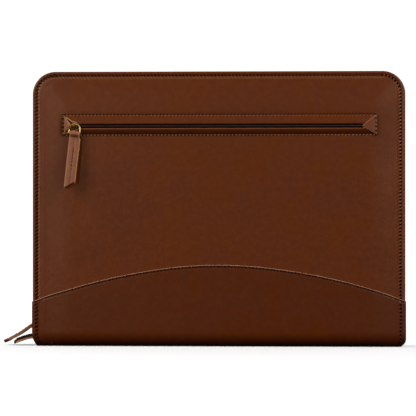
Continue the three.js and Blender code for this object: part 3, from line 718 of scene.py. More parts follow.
@dataclass(frozen=True)
class LeatherFinish:
    """Vegetable-tanned cowhide, drum-dyed and wax-polished.

    It gives the eye a warm brown that shifts between darker and redder areas, a soft satin sheen
    on curved parts, and paler raw edges where the hide is cut.
    """

    name: str
    deep: str
    body: str
    warm: str
    raw: str
    roughness: float = 0.37
    mottle: float = 30.0  # width of a cloud of colour
    fleck: float = 5.0
    grain: float = 1.3  # real grain is about 0.4 mm; it is drawn coarser so that it shows
    grain_depth: float = 0.05
    crease: float = 11.0
    fold_depth: float = 0.3
    shade: str = "#74645b"  # painted shade, multiplied in by the seam mark in grooves, creases and on faces turned from the light
    wax: str = "#f2d7ba"  # the polish takes the hide's colour, so its shine is warm

    def build(self) -> bpy.types.Material:
        """Makes the material.

        Returns:
            The finished material.
        """
        material, tree, place = blank_material(self.name)
        clouds = add_node(tree, "ShaderNodeTexNoise", inputs={
            "Vector": place, "Scale": 1 / (self.mottle * MM), "Detail": 4.0, "Roughness": 0.55})
        flecks = add_node(tree, "ShaderNodeTexNoise", inputs={
            "Vector": place, "Scale": 1 / (self.fleck * MM), "Detail": 3.0, "Roughness": 0.6})
        colour, cut = self.colour(tree, clouds.outputs["Fac"], flecks.outputs["Fac"])
        polish = add_node(tree, "ShaderNodeMapRange", inputs={
            "Value": clouds.outputs["Fac"], "From Min": 0.3, "From Max": 0.7,
            "To Min": self.roughness + 0.07, "To Max": self.roughness - 0.05})
        rough = add_node(tree, "ShaderNodeMath", {"operation": "MULTIPLY_ADD", "use_clamp": True}, {
            0: cut, 1: 0.35, 2: polish.outputs[0]})
        shader = add_node(tree, "ShaderNodeBsdfPrincipled", inputs={
            "Base Color": colour, "Roughness": rough.outputs[0], "IOR": 1.45,
            "Specular IOR Level": 0.4, "Specular Tint": linear(self.wax),
            "Normal": self.surface(tree, place)})
        add_node(tree, "ShaderNodeOutputMaterial", inputs={"Surface": shader.outputs[0]})
        return material

    def colour(self, tree: bpy.types.NodeTree, clouds: bpy.types.NodeSocket,
               flecks: bpy.types.NodeSocket) -> tuple[bpy.types.NodeSocket, bpy.types.NodeSocket]:
        """Adds the dye's clouds and flecks, the painted shade of the seam mark, the lightened places (worn
        edges and painted highlights) and the cut places, whose mark also paints highlights on pucker crests.

        Args:
            tree: The material's tree.
            clouds: The broad noise.
            flecks: The fine noise.

        Returns:
            The colour, and how far a place is cut open.
        """
        ramp = add_node(tree, "ShaderNodeValToRGB", inputs={"Fac": clouds})
        for element, position, shade in zip(ramp.color_ramp.elements, (0.34, 0.68), (self.deep, self.body)):
            element.position = position
            element.color = linear(shade)
        spot = add_node(tree, "ShaderNodeMapRange", inputs={
            "Value": flecks, "From Min": 0.42, "From Max": 0.75, "To Max": 0.45})
        warmed = add_node(tree, "ShaderNodeMix", {"data_type": "RGBA"}, {
            0: spot.outputs[0], 6: ramp.outputs[0], 7: linear(self.warm)})
        seam, rub, raw = (add_node(tree, "ShaderNodeAttribute", {"attribute_name": name}).outputs["Fac"]
                          for name in ("seam", "rub", "raw"))
        # Painted shade: the seam mark multiplies in the shade colour.
        dark = add_node(tree, "ShaderNodeMix", {"data_type": "RGBA", "blend_type": "MULTIPLY"}, {
            0: seam, 6: warmed.outputs[2], 7: linear(self.shade)})
        # Lightens worn edges and paints highlights by mixing in the warm colour.
        lightened = add_node(tree, "ShaderNodeMix", {"data_type": "RGBA"}, {
            0: rub, 6: dark.outputs[2], 7: linear(self.warm)})
        fibre = add_node(tree, "ShaderNodeMath", {"operation": "MULTIPLY_ADD", "use_clamp": True}, {
            0: flecks, 1: 0.5, 2: 0.65})
        # The raw mark gives cut edges their colour and paints highlights on pucker crests.
        cut = add_node(tree, "ShaderNodeMath", {"operation": "MULTIPLY"}, {0: raw, 1: fibre.outputs[0]})
        colour = add_node(tree, "ShaderNodeMix", {"data_type": "RGBA"}, {
            0: cut.outputs[0], 6: lightened.outputs[2], 7: linear(self.raw)})
        return colour.outputs[2], cut.outputs[0]

    def surface(self, tree: bpy.types.NodeTree, place: bpy.types.NodeSocket) -> bpy.types.NodeSocket:
        """Adds the hide's broad folds and its grain.

        Args:
            tree: The material's tree.
            place: The coordinates.

        Returns:
            The bent normal.
        """
        folds = add_node(tree, "ShaderNodeTexNoise", inputs={
            "Vector": place, "Scale": 1 / (self.crease * MM), "Detail": 5.0, "Roughness": 0.62,
            "Distortion": 0.6})
        pores = add_node(tree, "ShaderNodeTexVoronoi", {"feature": "F1"}, {
            "Vector": place, "Scale": 1 / (self.grain * MM), "Randomness": 1.0})
        broad = add_node(tree, "ShaderNodeBump", inputs={
            "Strength": 0.5, "Distance": self.fold_depth * MM, "Height": folds.outputs["Fac"]})
        grain = add_node(tree, "ShaderNodeBump", inputs={
            "Strength": 0.5, "Distance": self.grain_depth * MM, "Height": pores.outputs["Distance"],
            "Normal": broad.outputs[0]})
        return grain.outputs[0]


@dataclass(frozen=True)
class WovenTape:
    """Black polyester zip tape in a fine herringbone weave.

    It gives the eye a matt black with faint ribs that catch the light.
    """

    name: str
    yarn: str = "#080707"
    lit: str = "#181515"
    rib: float = 0.9  # real ribs are about 0.5 mm; drawn coarser so that they show

    def build(self) -> bpy.types.Material:
        """Makes the material.

        Returns:
            The finished material.
        """
        material, tree, place = blank_material(self.name)
        warp = add_node(tree, "ShaderNodeTexWave", {"wave_type": "BANDS", "bands_direction": "DIAGONAL"}, {
            "Vector": place, "Scale": 1 / (self.rib * MM * 6.0), "Distortion": 0.4, "Detail": 1.0})
        fuzz = add_node(tree, "ShaderNodeTexNoise", inputs={
            "Vector": place, "Scale": 1 / (0.8 * MM), "Detail": 2.0})
        blend = add_node(tree, "ShaderNodeMath", {"operation": "MULTIPLY"}, {
            0: warp.outputs["Fac"], 1: fuzz.outputs["Fac"]})
        colour = add_node(tree, "ShaderNodeMix", {"data_type": "RGBA"}, {
            0: blend.outputs[0], 6: linear(self.yarn), 7: linear(self.lit)})
        bump = add_node(tree, "ShaderNodeBump", inputs={
            "Strength": 0.7, "Distance": 0.12 * MM, "Height": blend.outputs[0]})
        shader = add_node(tree, "ShaderNodeBsdfPrincipled", inputs={
            "Base Color": colour.outputs[2], "Roughness": 0.85, "IOR": 1.5, "Normal": bump.outputs[0],
            "Specular IOR Level": 0.15, "Sheen Weight": 0.06, "Sheen Roughness": 0.5})
        add_node(tree, "ShaderNodeOutputMaterial", inputs={"Surface": shader.outputs[0]})
        return material


@dataclass(frozen=True)
class SmoothFinish:
    """A moulded, spun or cast surface with slight unevenness.

    It serves the nylon coil, the waxed sewing thread and the cast brass, which differ in
    colour, gloss and metal.
    """

    name: str
    colour: str
    other: str
    roughness: float
    metallic: float = 0.0
    cloud: float = 3.0
    pit: float = 0.5
    pit_depth: float = 0.02
    shine: float = 0.5

    def build(self) -> bpy.types.Material:
        """Makes the material.

        Returns:
            The finished material.
        """
        material, tree, place = blank_material(self.name)
        clouds = add_node(tree, "ShaderNodeTexNoise", inputs={
            "Vector": place, "Scale": 1 / (self.cloud * MM), "Detail": 4.0})
        share = add_node(tree, "ShaderNodeMapRange", inputs={
            "Value": clouds.outputs["Fac"], "From Min": 0.4, "From Max": 0.7})
        colour = add_node(tree, "ShaderNodeMix", {"data_type": "RGBA"}, {
            0: share.outputs[0], 6: linear(self.colour), 7: linear(self.other)})
        rough = add_node(tree, "ShaderNodeMapRange", inputs={
            "Value": clouds.outputs["Fac"], "From Min": 0.3, "From Max": 0.7,
            "To Min": self.roughness * 0.8, "To Max": self.roughness * 1.3})
        pits = add_node(tree, "ShaderNodeTexNoise", inputs={
            "Vector": place, "Scale": 1 / (self.pit * MM), "Detail": 2.0})
        bump = add_node(tree, "ShaderNodeBump", inputs={
            "Strength": 0.4, "Distance": self.pit_depth * MM, "Height": pits.outputs["Fac"]})
        shader = add_node(tree, "ShaderNodeBsdfPrincipled", inputs={
            "Base Color": colour.outputs[2], "Roughness": rough.outputs[0], "Metallic": self.metallic,
            "Specular IOR Level": self.shine, "Normal": bump.outputs[0]})
        add_node(tree, "ShaderNodeOutputMaterial", inputs={"Surface": shader.outputs[0]})
        return material


class Finishes:
    """All the finishes of the case, built once."""

    def __init__(self) -> None:
        """Builds each material."""
        self.panel = LeatherFinish("panel_cowhide", "#54220a", "#5c2707", "#68300c", "#b98457",
                                   fold_depth=0.5).build()
        self.wrap = LeatherFinish("wrap_cowhide", "#4d1c04", "#522003", "#5c2707", "#dcaa88").build()
        self.edging = LeatherFinish("edging_cowhide", "#4a1d07", "#522206", "#5c290b", "#9a6642").build()
        self.tab = LeatherFinish("tab_cowhide", "#602d17", "#6e361d", "#7f4427", "#dca274").build()
        # A lighter copy of the tab leather for the lifted tab: painted light on its lobe, which faces the
        # left lamp.
        self.rubbed_tab = LeatherFinish("rubbed_tab_cowhide", "#77452e", "#8a553c", "#a06a4e", "#b98a62",
                                        roughness=0.45, mottle=4.0, fleck=1.5, crease=3.0).build()
        self.tail = LeatherFinish("tail_cowhide", "#7a3f22", "#8a4b2b", "#9a5a38", "#a5683f").build()
        self.strap = LeatherFinish("strap_cowhide", "#764631", "#845139", "#986248", "#c8824e",
                                   roughness=0.45, mottle=9.0, fleck=2.0, crease=4.0).build()
        self.tape = WovenTape("zip_tape_weave").build()
        self.coil = SmoothFinish("nylon_coil", "#060505", "#0b0a0a", 0.6, shine=0.08).build()
        # Brown-grey colour for a row along the pocket coil's middle: painted highlight on the coil's crest.
        self.highlight_coil = SmoothFinish("highlight_nylon_coil", "#4a2c24", "#5c3a30", 0.6, shine=0.3).build()
        self.thread = SmoothFinish("waxed_thread", "#4a2110", "#64331b", 0.8, shine=0.2).build()
        self.tan_thread = SmoothFinish("pale_waxed_thread", "#8a5234", "#a56c48", 0.8, shine=0.2).build()
        # Near-black colour of the slits: painted shade of their deep insides.
        self.slit = SmoothFinish("painted_slit_shade", "#0c0402", "#140805", 0.95, shine=0.05).build()
        metal = {"metallic": 1.0, "cloud": 2.2}
        self.ring = SmoothFinish("polished_brass", "#ecca7c", "#c99f4c", 0.46, **metal).build()
        self.brass = SmoothFinish("aged_brass", "#80602a", "#3c2a10", 0.36, **metal).build()


# Panels


@dataclass
class Panel:
    """A padded leather panel with a stitched border, and on the front a zipped slot."""

    side: Side
    finishes: Finishes
    form: CaseForm = FORM
    coarse_step: float = 3.3

    ROLL_INSETS = (0.0, 0.12, 0.3, 0.55, 0.85, 1.2, 1.6, 2.1, 2.7, 3.1, 3.4, 3.7, 3.95, 4.2, 4.45,
                   4.7, 4.95, 5.25, 5.55, 5.9, 6.3, 6.7, 7.1, 7.6, 8.2, 9.0, 9.8, 10.6)
    DEEP_INSETS = (11.5, 12.8, 14.4, 16.4)
    RAW_EDGE = 1.15  # the cut leather beside the slider is turned out, so that its edge shows
    INNER_INSETS = (12.8, 16.0)

    # X, and the slot's height above and below its middle line there
    SLOT = ((-156.0, 5.0, 5.0), (-144.7, 10.2, 7.3), (-137.1, 5.1, 5.1), (-132.7, 3.9, 3.9),
            (-130.8, 2.0, 2.0), (156.0, 2.0, 2.0))

    SLOT_SEAM = Band(0.0, 0.8, 0.22)
    SLOT_SHADE = Band(0.0, 0.9, 0.4)
    TAB_GROOVE = 0.8
    LIP_SHADE = 0.62
    PUCKER_HIGHLIGHT = 0.6
    # Lightened band at the outer edge: wear and painted highlight on the rounded edge.
    EDGE_WEAR_AND_HIGHLIGHT = Band(0.0, 1.2, 0.55)

    @property
    def lips(self) -> bool:
        """Whether this panel has the slot."""
        return self.side is Side.FRONT

    def opening(self, x: float) -> tuple[float, float]:
        """Heights of the slot above and below its middle line at x."""
        places, above, below = zip(*self.SLOT)
        return float(np.interp(x, places, above)), float(np.interp(x, places, below))

    def column_lines(self) -> list[float]:
        """X of the grid's columns."""
        f = self.form
        lines: list[float] = []
        if self.lips:
            for seam in (f.seam_left, f.seam_right):
                lines += [seam + d for d in (-1.4, -0.7, 0.0, 0.7, 1.4)]
            lines += [f.slot_corner_x, -141.0, *(x for x, _, _ in self.SLOT[2:5]), f.slot_end_x]
        return spread(lines, -f.straight, f.straight, self.coarse_step)

    def row_lines(self, x: float) -> list[float]:
        """Z of the grid's rows at a column, bent round the slot.

        Args:
            x: The column's X.

        Returns:
            The heights in order.
        """
        f = self.form
        if not self.lips:
            return spread([], f.panel_foot, f.shoulder, self.coarse_step)
        up, down = self.opening(x)
        below = spread([], f.panel_foot, f.seam_bottom - 1.6, self.coarse_step)
        above = spread([], f.seam_top + 1.6, f.shoulder, self.coarse_step)
        shares = (0.0, 0.08, 0.18, 0.32, 0.5, 0.68, 0.84, 0.94, 1.0)
        lower = [f.seam_bottom + s * (f.slot_z - down - f.seam_bottom) for s in shares]
        upper = [f.seam_top + s * (f.slot_z + up - f.seam_top) for s in reversed(shares)]
        middle = [f.slot_z - down + s * (up + down) for s in (0.25, 0.5, 0.75)]
        return [*below, f.seam_bottom - 0.7, *lower, *middle, *upper, f.seam_top + 0.7, *above]

    def slot_rows(self) -> tuple[int, int]:
        """Numbers of the grid's rows along the slot's lower and upper edge."""
        rows = self.row_lines(0.0)
        f = self.form
        low = int(np.argmin([abs(z - (f.slot_z - f.slot_half)) for z in rows]))
        high = int(np.argmin([abs(z - (f.slot_z + f.slot_half)) for z in rows]))
        return low, high

    def seam_distance(self, x: np.ndarray, z: np.ndarray) -> np.ndarray:
        """Distance from the stitched rectangle round the slot."""
        f = self.form
        dx = np.maximum(f.seam_left - x, x - f.seam_right)
        dz = np.maximum(f.seam_bottom - z, z - f.seam_top)
        inside = np.maximum(dx, dz)
        outside = np.hypot(np.maximum(dx, 0), np.maximum(dz, 0))
        return np.where(inside < 0, -inside, outside)

    def depth(self, x: np.ndarray, z: np.ndarray, inset: np.ndarray, run: np.ndarray,
              turn: Any = 0.0) -> np.ndarray:
        """Depth of the panel's outer face with all its relief."""
        f = self.form
        relief = f.border_relief(inset, run, turn)
        depth = f.face(x, z, self.lips) + relief + f.ripple(x, z) * smooth(inset / 30 - 0.2)
        if self.lips:
            depth = depth - self.SLOT_SEAM.at(self.seam_distance(x, z))
            depth = depth - self.TAB_GROOVE * self.tab_groove(x, z)
        return depth

    def tab_groove(self, x: np.ndarray, z: np.ndarray) -> np.ndarray:
        """Where the leather is drawn in behind the lifted tab, from 0 to 1."""
        f = self.form
        reach = smooth((z - f.seam_bottom + 1.5) / 3) * smooth((f.seam_top - 3.0 - z) / 5)
        return bell(x - f.seam_left - 0.3, 0.95) * reach

    def marks(self, x: np.ndarray, z: np.ndarray, inset: np.ndarray, run: np.ndarray,
              turn: Any = 0.0) -> dict[str, np.ndarray]:
        """Marks for the material: painted shade in the grooves, beside the slot and on the lower lip, the
        worn and highlighted edge, and painted highlights on the pucker crests.

        Args:
            x: X of the points.
            z: Z of the points.
            inset: Their distance inside the edge.
            run: Their distance along the seam.
            turn: How far round a corner they lie, 1 in the middle.

        Returns:
            The marks by name.
        """
        f = self.form
        # Painted shade in the stitch groove. It is strongest along the top, where the groove's upper wall
        # hides it from the overhead light, and weakest on the right.
        top = smooth((z - f.shoulder) / 12)
        level = np.where(x > f.straight, 0.05, 0.45)
        seam = (level + (1 - level) * top) * bell(inset - f.stitch_inset - 0.1, 0.85)
        if self.lips:
            # Painted shade beside the slot's seam, painted shadow in the groove behind the lifted tab, and
            # painted shade on the lower lip, which faces down away from the light.
            seam = np.maximum(seam, self.SLOT_SHADE.at(self.seam_distance(x, z)))
            seam = np.maximum(seam, self.tab_groove(x, z))
            low = f.seam_bottom
            lower_lip = smooth((low + 6.0 - z) / 1.2) * smooth((z - low - 0.3) / 0.9) * (f.lip(x, z) > 0.01)
            seam = np.maximum(seam, self.LIP_SHADE * lower_lip)
        # Painted highlights on the pucker crests, carried by the raw mark.
        raw = self.PUCKER_HIGHLIGHT * (1 - f.CORNER_CALM * turn) * f.puckers(x, z, inset, run)
        return {"seam": seam, "rub": self.EDGE_WEAR_AND_HIGHLIGHT.at(inset), "raw": raw}

    def stations(self, columns: list[float]) -> tuple[np.ndarray, np.ndarray]:
        """Coarse and fine stations round the rim.

        Args:
            columns: X of the grid's columns.

        Returns:
            Two arrays with rows of X, Z, inward X, inward Z and run. The fine one has three spans
            for each span of the coarse one.
        """
        f = self.form
        left = self.row_lines(-f.straight)
        right = self.row_lines(f.straight)
        turns = 8
        radius = f.corner - f.stitch_inset
        rows: list[tuple[float, ...]] = [(-f.half, z, 1, 0, z - f.panel_foot) for z in left]
        run = rows[-1][4]
        rows += [(-f.straight - f.corner * math.cos(a), f.shoulder + f.corner * math.sin(a),
                  math.cos(a), -math.sin(a), run + radius * a)
                 for a in (math.pi / 2 * i / turns for i in range(1, turns))]
        run += radius * math.pi / 2
        rows += [(x, f.height, 0, -1, run + x + f.straight) for x in columns]
        run += 2 * f.straight
        rows += [(f.straight + f.corner * math.sin(a), f.shoulder + f.corner * math.cos(a),
                  -math.sin(a), -math.cos(a), run + radius * a)
                 for a in (math.pi / 2 * i / turns for i in range(1, turns))]
        run += radius * math.pi / 2
        rows += [(f.half, z, -1, 0, run + f.shoulder - z) for z in reversed(right)]
        coarse = np.array(rows)
        fine: list[np.ndarray] = []
        for a, b in zip(coarse, coarse[1:]):
            fine += [self.between(a, b, share) for share in (0, 1 / 3, 2 / 3)]
        fine.append(coarse[-1])
        return coarse, np.array(fine)

    def between(self, a: np.ndarray, b: np.ndarray, share: float) -> np.ndarray:
        """A station between two others, kept on the corner's arc."""
        f = self.form
        row = a + (b - a) * share
        turn = np.hypot(row[2], row[3])
        if turn < 0.9999:
            row[2:4] = row[2:4] / turn
            centre = np.array([math.copysign(f.straight, row[0]), f.shoulder])
            row[0:2] = centre - row[2:4] * f.corner
        return row

    def ring_points(self, stations: np.ndarray, inset: float,
                    inner: bool) -> tuple[np.ndarray, dict[str, np.ndarray]]:
        """Points of the panel at an inset, one for each station.

        Args:
            stations: The stations.
            inset: Distance inside the edge.
            inner: Whether they are on the inner face.

        Returns:
            The points and their marks.
        """
        x = stations[:, 0] + stations[:, 2] * inset
        z = stations[:, 1] + stations[:, 3] * inset
        flat = np.full_like(x, inset)
        if inner:
            depth = self.form.face(x, z, self.lips) - self.form.panel_leather
            marks = {"raw": np.zeros_like(x)}
        else:
            turn = 2 * np.abs(stations[:, 2] * stations[:, 3])
            depth = self.depth(x, z, flat, stations[:, 4], turn)
            marks = self.marks(x, z, flat, stations[:, 4], turn)
        return np.stack([x, self.side.value * depth, z], axis=-1), marks

    def make(self) -> bpy.types.Object:
        """Builds the panel's mesh.

        Returns:
            The panel.
        """
        f = self.form
        draft = MeshDraft()
        columns = self.column_lines()
        grid_z = np.array([self.row_lines(x) for x in columns])
        grid_x = np.repeat(np.array(columns)[:, None], grid_z.shape[1], axis=1)
        inset = f.inset(grid_x, grid_z)
        far = np.zeros_like(inset)
        outer_depth = self.depth(grid_x, grid_z, inset, far)
        inner_depth = f.face(grid_x, grid_z, self.lips) - f.panel_leather
        marks = self.marks(grid_x, grid_z, inset, far)
        keep = np.ones((len(columns) - 1, grid_z.shape[1] - 1), bool)
        if self.lips:
            low, high = self.slot_rows()
            first = int(np.argmin([abs(x - f.slot_corner_x) for x in columns]))
            last = int(np.argmin([abs(x - f.slot_end_x) for x in columns]))
            keep[first:last, low:high] = False
            outer_depth[first:last + 1, [low, high]] -= 0.35
            # Painted highlights along both lips' edges at the slot, with more on the lower edge through the
            # raw mark.
            marks["rub"][first:last + 1, [low, high]] = 0.5
            marks["raw"][first:last + 1, low] = 0.3
        outer = draft.add_points(np.stack([grid_x, self.side.value * outer_depth, grid_z], axis=-1), **marks)
        inner = draft.add_points(np.stack([grid_x, self.side.value * inner_depth, grid_z], axis=-1))
        draft.add_quads(outer, keep)
        draft.add_quads(inner, keep)
        if self.lips:
            self.add_slot_wall(draft, outer, inner, (first, last), (low, high), columns, grid_z, outer_depth)
        coarse, fine = self.stations(columns)
        self.add_band(draft, coarse, fine)
        return draft.build(f"{self.side.name.lower()}_panel_leather", fill=True)

    def add_band(self, draft: MeshDraft, coarse: np.ndarray, fine: np.ndarray) -> None:
        """Adds the border's outer face, its rolled edge and its inner face.

        Args:
            draft: The panel's draft.
            coarse: The stations inside the border.
            fine: Three times as many stations for its relief.
        """
        deep = [draft.add_points(p, **m) for p, m in
                (self.ring_points(coarse, d, False) for d in (self.form.corner, *reversed(self.DEEP_INSETS)))]
        rolled = [draft.add_points(p, **m) for p, m in
                  (self.ring_points(fine, d, False) for d in reversed(self.ROLL_INSETS))]
        draft.add_quads(np.stack(deep))
        draft.add_three_to_one(deep[-1], rolled[-len(self.ROLL_INSETS)])
        draft.add_quads(np.stack(rolled))
        edge = self.ring_points(fine, 0.0, True)[0]
        edge[:, 1] += self.side.value * 0.3
        under = self.ring_points(fine, 0.4, True)[0]
        # The turned edge is lightened: wear and painted highlight on the rounded edge.
        turned = [rolled[-1], draft.add_points(edge, rub=0.4), draft.add_points(under)]
        draft.add_quads(np.stack(turned))
        inner = [draft.add_points(self.ring_points(coarse, d, True)[0])
                 for d in (*self.INNER_INSETS, self.form.corner)]
        draft.add_three_to_one(inner[0], turned[-1])
        draft.add_quads(np.stack(inner))

    def add_slot_wall(self, draft: MeshDraft, outer: np.ndarray, inner: np.ndarray, across: tuple[int, int],
                      up: tuple[int, int], columns: list[float], grid_z: np.ndarray,
                      depth: np.ndarray) -> None:
        """Adds the cut edge of the leather all round the slot.

        Args:
            draft: The panel's draft.
            outer: Numbers of the outer face's points.
            inner: Numbers of the inner face's points.
            across: First and last column of the slot.
            up: Lowest and highest row of the slot.
            columns: X of the columns.
            grid_z: Z of the outer face's points.
            depth: Depth of the outer face's points.
        """
        first, last = across
        low, high = up
        loop = ([(i, low) for i in range(first, last)] + [(last, j) for j in range(low, high)]
                + [(i, high) for i in range(last, first, -1)] + [(first, j) for j in range(high, low, -1)])
        middle = []
        for i, j in loop:
            drop = float(np.interp(columns[i], (-134.0, -131.0), (self.RAW_EDGE, 0.22)))
            dz = drop if j == low else -drop if j == high else 0.0
            dx = drop if i == first else -drop if i == last else 0.0
            rise = float(np.interp(columns[i], (-134.0, -131.0), (0.6, -0.45)))
            middle.append((columns[i] + dx, self.side.value * (depth[i, j] + rise), grid_z[i, j] + dz))
        raw = np.array([1.0 if columns[i] < -129 else 0.35 for i, _ in loop])
        middle_points = np.array(middle)
        edge = np.array([(columns[i], self.side.value * depth[i, j], grid_z[i, j]) for i, j in loop])
        start = draft.add_points(edge + 0.06 * (middle_points - edge), raw=raw)
        wall = draft.add_points(middle_points, raw=raw)
        rows = np.stack([np.array([outer[i, j] for i, j in loop]), start, wall,
                         np.array([inner[i, j] for i, j in loop])])
        draft.add_ring(rows)

    def dress(self) -> None:
        """Builds, dresses and seats the panel."""
        piece = self.make()
        seat(piece, self.finishes.panel, "panel_leather", f"{self.side.name.lower()}_panel")

    def border_paths(self) -> list[tuple[np.ndarray, np.ndarray]]:
        """Paths of the border's stitches above the wrap: the left side, the top and the right side."""
        f = self.form
        low = float(f.arch(np.array(f.half))) + 2.5
        rim = f.rim(f.stitch_inset, low, 1.1)
        rim[:, 0] -= np.where(rim[:, 0] > f.straight, 0.9, 0.0)
        depth = f.face(rim[:, 0], rim[:, 1], self.lips) - 0.28
        points = np.stack([rim[:, 0], self.side.value * depth, rim[:, 1]], axis=-1)
        facing = np.tile([0.0, float(self.side.value), 0.0], (len(points), 1))
        left = int(np.argmax(rim[:, 0] > -f.straight))
        right = int(np.argmax(rim[:, 0] > f.straight))
        return [(points[a:b], facing[a:b]) for a, b in ((0, left), (left, right), (right, len(points)))]


# Wrap


@dataclass
class SpineWrap:
    """The leather wrap round the spine, with an arched, edge-stitched upper edge."""

    finishes: Finishes
    form: CaseForm = FORM
    column_step: float = 1.65

    EDGE_DROPS = (0.0, 0.1, 0.25, 0.5, 0.85, 1.2, 1.5, 1.8, 2.2, 2.8, 3.8, 5.5)
    SIDE_INSETS = (0.0, 0.15, 0.4, 0.8, 1.3, 1.9, 2.6, 3.2, 3.7, 4.1, 4.5, 4.9, 5.3, 5.7, 6.2, 6.8,
                   7.5, 8.3, 9.2, 10.2, 11.4, 13.0, 15.0, 17.5)
    FACE_ROWS = 14
    ROLL_ROWS = 10
    EDGE_STITCH = 1.5
    EDGE_ROUNDING = 0.5
    CUT_EDGE = 0.15
    EDGE_SHADE = Band(EDGE_STITCH, 0.7)
    # Lightened line just below the arch's edge: painted highlight on the upward cut edge.
    EDGE_WEAR_AND_HIGHLIGHT = Band(0.4, 0.42, 0.45)
    FOOT_SHADE = 13.0  # painted shade on the rounded foot, which turns away from the light

    def side_stitch(self) -> float:
        """Inset of the border's stitches from the wrap's own side."""
        return self.form.stitch_inset + self.form.overhang

    def rows(self, top: np.ndarray, bottom: float) -> tuple[np.ndarray, np.ndarray]:
        """Heights of the rows from the arched edge to the underside's middle line.

        Args:
            top: Height of the arched edge at each column.
            bottom: Height of the underside.

        Returns:
            Heights in columns and rows, and how far each row has turned under.
        """
        last = self.EDGE_DROPS[-1]
        roll = self.form.spine_roll
        heights = [top - drop for drop in self.EDGE_DROPS]
        heights += [top - last + (roll - top + last) * i / self.FACE_ROWS
                    for i in range(1, self.FACE_ROWS + 1)]
        turns = [math.pi / 2 * i / self.ROLL_ROWS for i in range(1, self.ROLL_ROWS + 1)]
        turned = [0.0] * len(heights) + turns
        heights += [np.full_like(top, roll - (roll - bottom) * math.sin(turn)) for turn in turns]
        return np.stack(heights, axis=1), np.array(turned)

    def section(self, x_share: np.ndarray, inset: np.ndarray,
                outer: bool) -> tuple[np.ndarray, dict[str, np.ndarray]]:
        """Grid of points over the front, under the spine and up the back.

        Args:
            x_share: Signs of the side that each column is measured from, or its plain X.
            inset: Inset from that side, or NaN where the column has a plain X.
            outer: Whether the points are on the outer face.

        Returns:
            The points and their marks.
        """
        f = self.form
        side = f.half + f.overhang
        layer = f.wrap_leather + f.clearance if outer else f.clearance
        bottom = f.wrap_leather + f.clearance - layer
        own = x_share[:, None]
        gap = inset[:, None]
        plain_x = np.where(np.isnan(gap), own, own * (side - np.nan_to_num(gap)))
        from_side = side - np.abs(plain_x)
        top = f.arch(plain_x)
        z, turn = self.rows(top[:, 0], bottom)
        drop = top - z
        limit = f.foot_limit(z, f.overhang, own)
        x = np.where(np.isnan(gap), own, own * (limit - np.nan_to_num(gap)))
        depth = f.face(np.clip(x, -f.half, f.half), np.maximum(z, f.spine_roll), False) + layer
        if outer:
            depth = depth + self.edge_relief(plain_x, drop)
            depth = depth + self.side_relief(from_side, z) + 0.5 * f.ripple(x, z)
        depth = f.spine_half + (depth - f.spine_half) * np.cos(turn)
        front = np.stack([x, -depth, z], axis=-1)
        # Painted shade in the stitch grooves below the arch and beside the sides, and on the rounded foot.
        # The lightening along the arch's upper edge is painted highlight. Along the sides it is wear and
        # painted highlight.
        seam = np.maximum(self.EDGE_SHADE.at(drop),
                          np.where(plain_x > 0, 0.1, 0.5) * bell(from_side - self.side_stitch(), 0.9))
        marks = {"seam": np.maximum(seam, 0.85 * smooth((self.FOOT_SHADE - z) / self.FOOT_SHADE)),
                 "raw": np.where(drop < self.CUT_EDGE, 1.0, 0.0),
                 "rub": np.maximum(self.EDGE_WEAR_AND_HIGHLIGHT.at(drop), 0.5 * bell(from_side, 1.2))}
        grid = np.concatenate([front, front[:, ::-1] * (1, -1, 1)], axis=1)
        return grid, {name: np.concatenate([mark, mark[:, ::-1]], axis=1) for name, mark in marks.items()}

    def edge_relief(self, x: np.ndarray, drop: np.ndarray) -> np.ndarray:
        """Relief below the arched edge: its rounding and the stitched groove.

        Args:
            x: X of the points.
            drop: Their distance below the edge.

        Returns:
            How far the surface stands out past the plain face.
        """
        wave = np.cos(2 * np.pi * x / self.form.stitch_pitch)
        past = np.clip(self.EDGE_ROUNDING - drop, 0, self.EDGE_ROUNDING)
        rounding = np.sqrt(self.EDGE_ROUNDING ** 2 - past ** 2) - self.EDGE_ROUNDING
        return rounding - (0.42 + 0.1 * wave) * bell(drop - self.EDGE_STITCH, 0.6)

    def side_relief(self, from_side: np.ndarray, z: np.ndarray) -> np.ndarray:
        """Relief of the border that runs on over the wrap's sides."""
        return self.form.border_relief(np.clip(from_side - 0.6, 0, None), z)

    def make(self) -> bpy.types.Object:
        """Builds the wrap's mesh.

        Returns:
            The wrap.
        """
        f = self.form
        middle = f.half + f.overhang - self.SIDE_INSETS[-1]
        count = round(2 * middle / self.column_step)
        inner_x = np.linspace(-middle, middle, count + 1)[1:-1]
        sides = np.array(self.SIDE_INSETS)
        share = np.concatenate([-np.ones(len(sides)), inner_x, np.ones(len(sides))])
        inset = np.concatenate([sides, np.full(len(inner_x), np.nan), sides[::-1]])
        draft = MeshDraft()
        outer_points, marks = self.section(share, inset, True)
        inner_points, _ = self.section(share, inset, False)
        outer = draft.add_points(outer_points, **marks)
        inner = draft.add_points(inner_points)
        draft.add_quads(outer)
        draft.add_quads(inner)
        for line in (0, -1):
            edge_outer = outer_points[:, line].copy()
            edge_inner = inner_points[:, line].copy()
            cut_top = draft.add_points(edge_outer, raw=1.0)
            cut_low = draft.add_points(edge_inner, raw=1.0)
            draft.add_quads(np.stack([cut_top, cut_low]))
        for column in (0, -1):
            draft.add_quads(np.stack([outer[column], inner[column]]))
        return draft.build("spine_wrap_leather")

    def edge_path(self, side: Side) -> tuple[np.ndarray, np.ndarray]:
        """Path of the stitches below the arched edge."""
        f = self.form
        x = np.linspace(-f.half + 3.4, f.half - 3.4, 360)
        z = f.arch(x) - self.EDGE_STITCH
        depth = f.face(x, z, False) + f.wrap_leather + f.clearance - 0.22
        depth += self.side_relief(f.half + f.overhang - np.abs(x), z)
        points = np.stack([x, side.value * depth, z], axis=-1)
        return points, np.tile([0.0, float(side.value), 0.0], (len(points), 1))

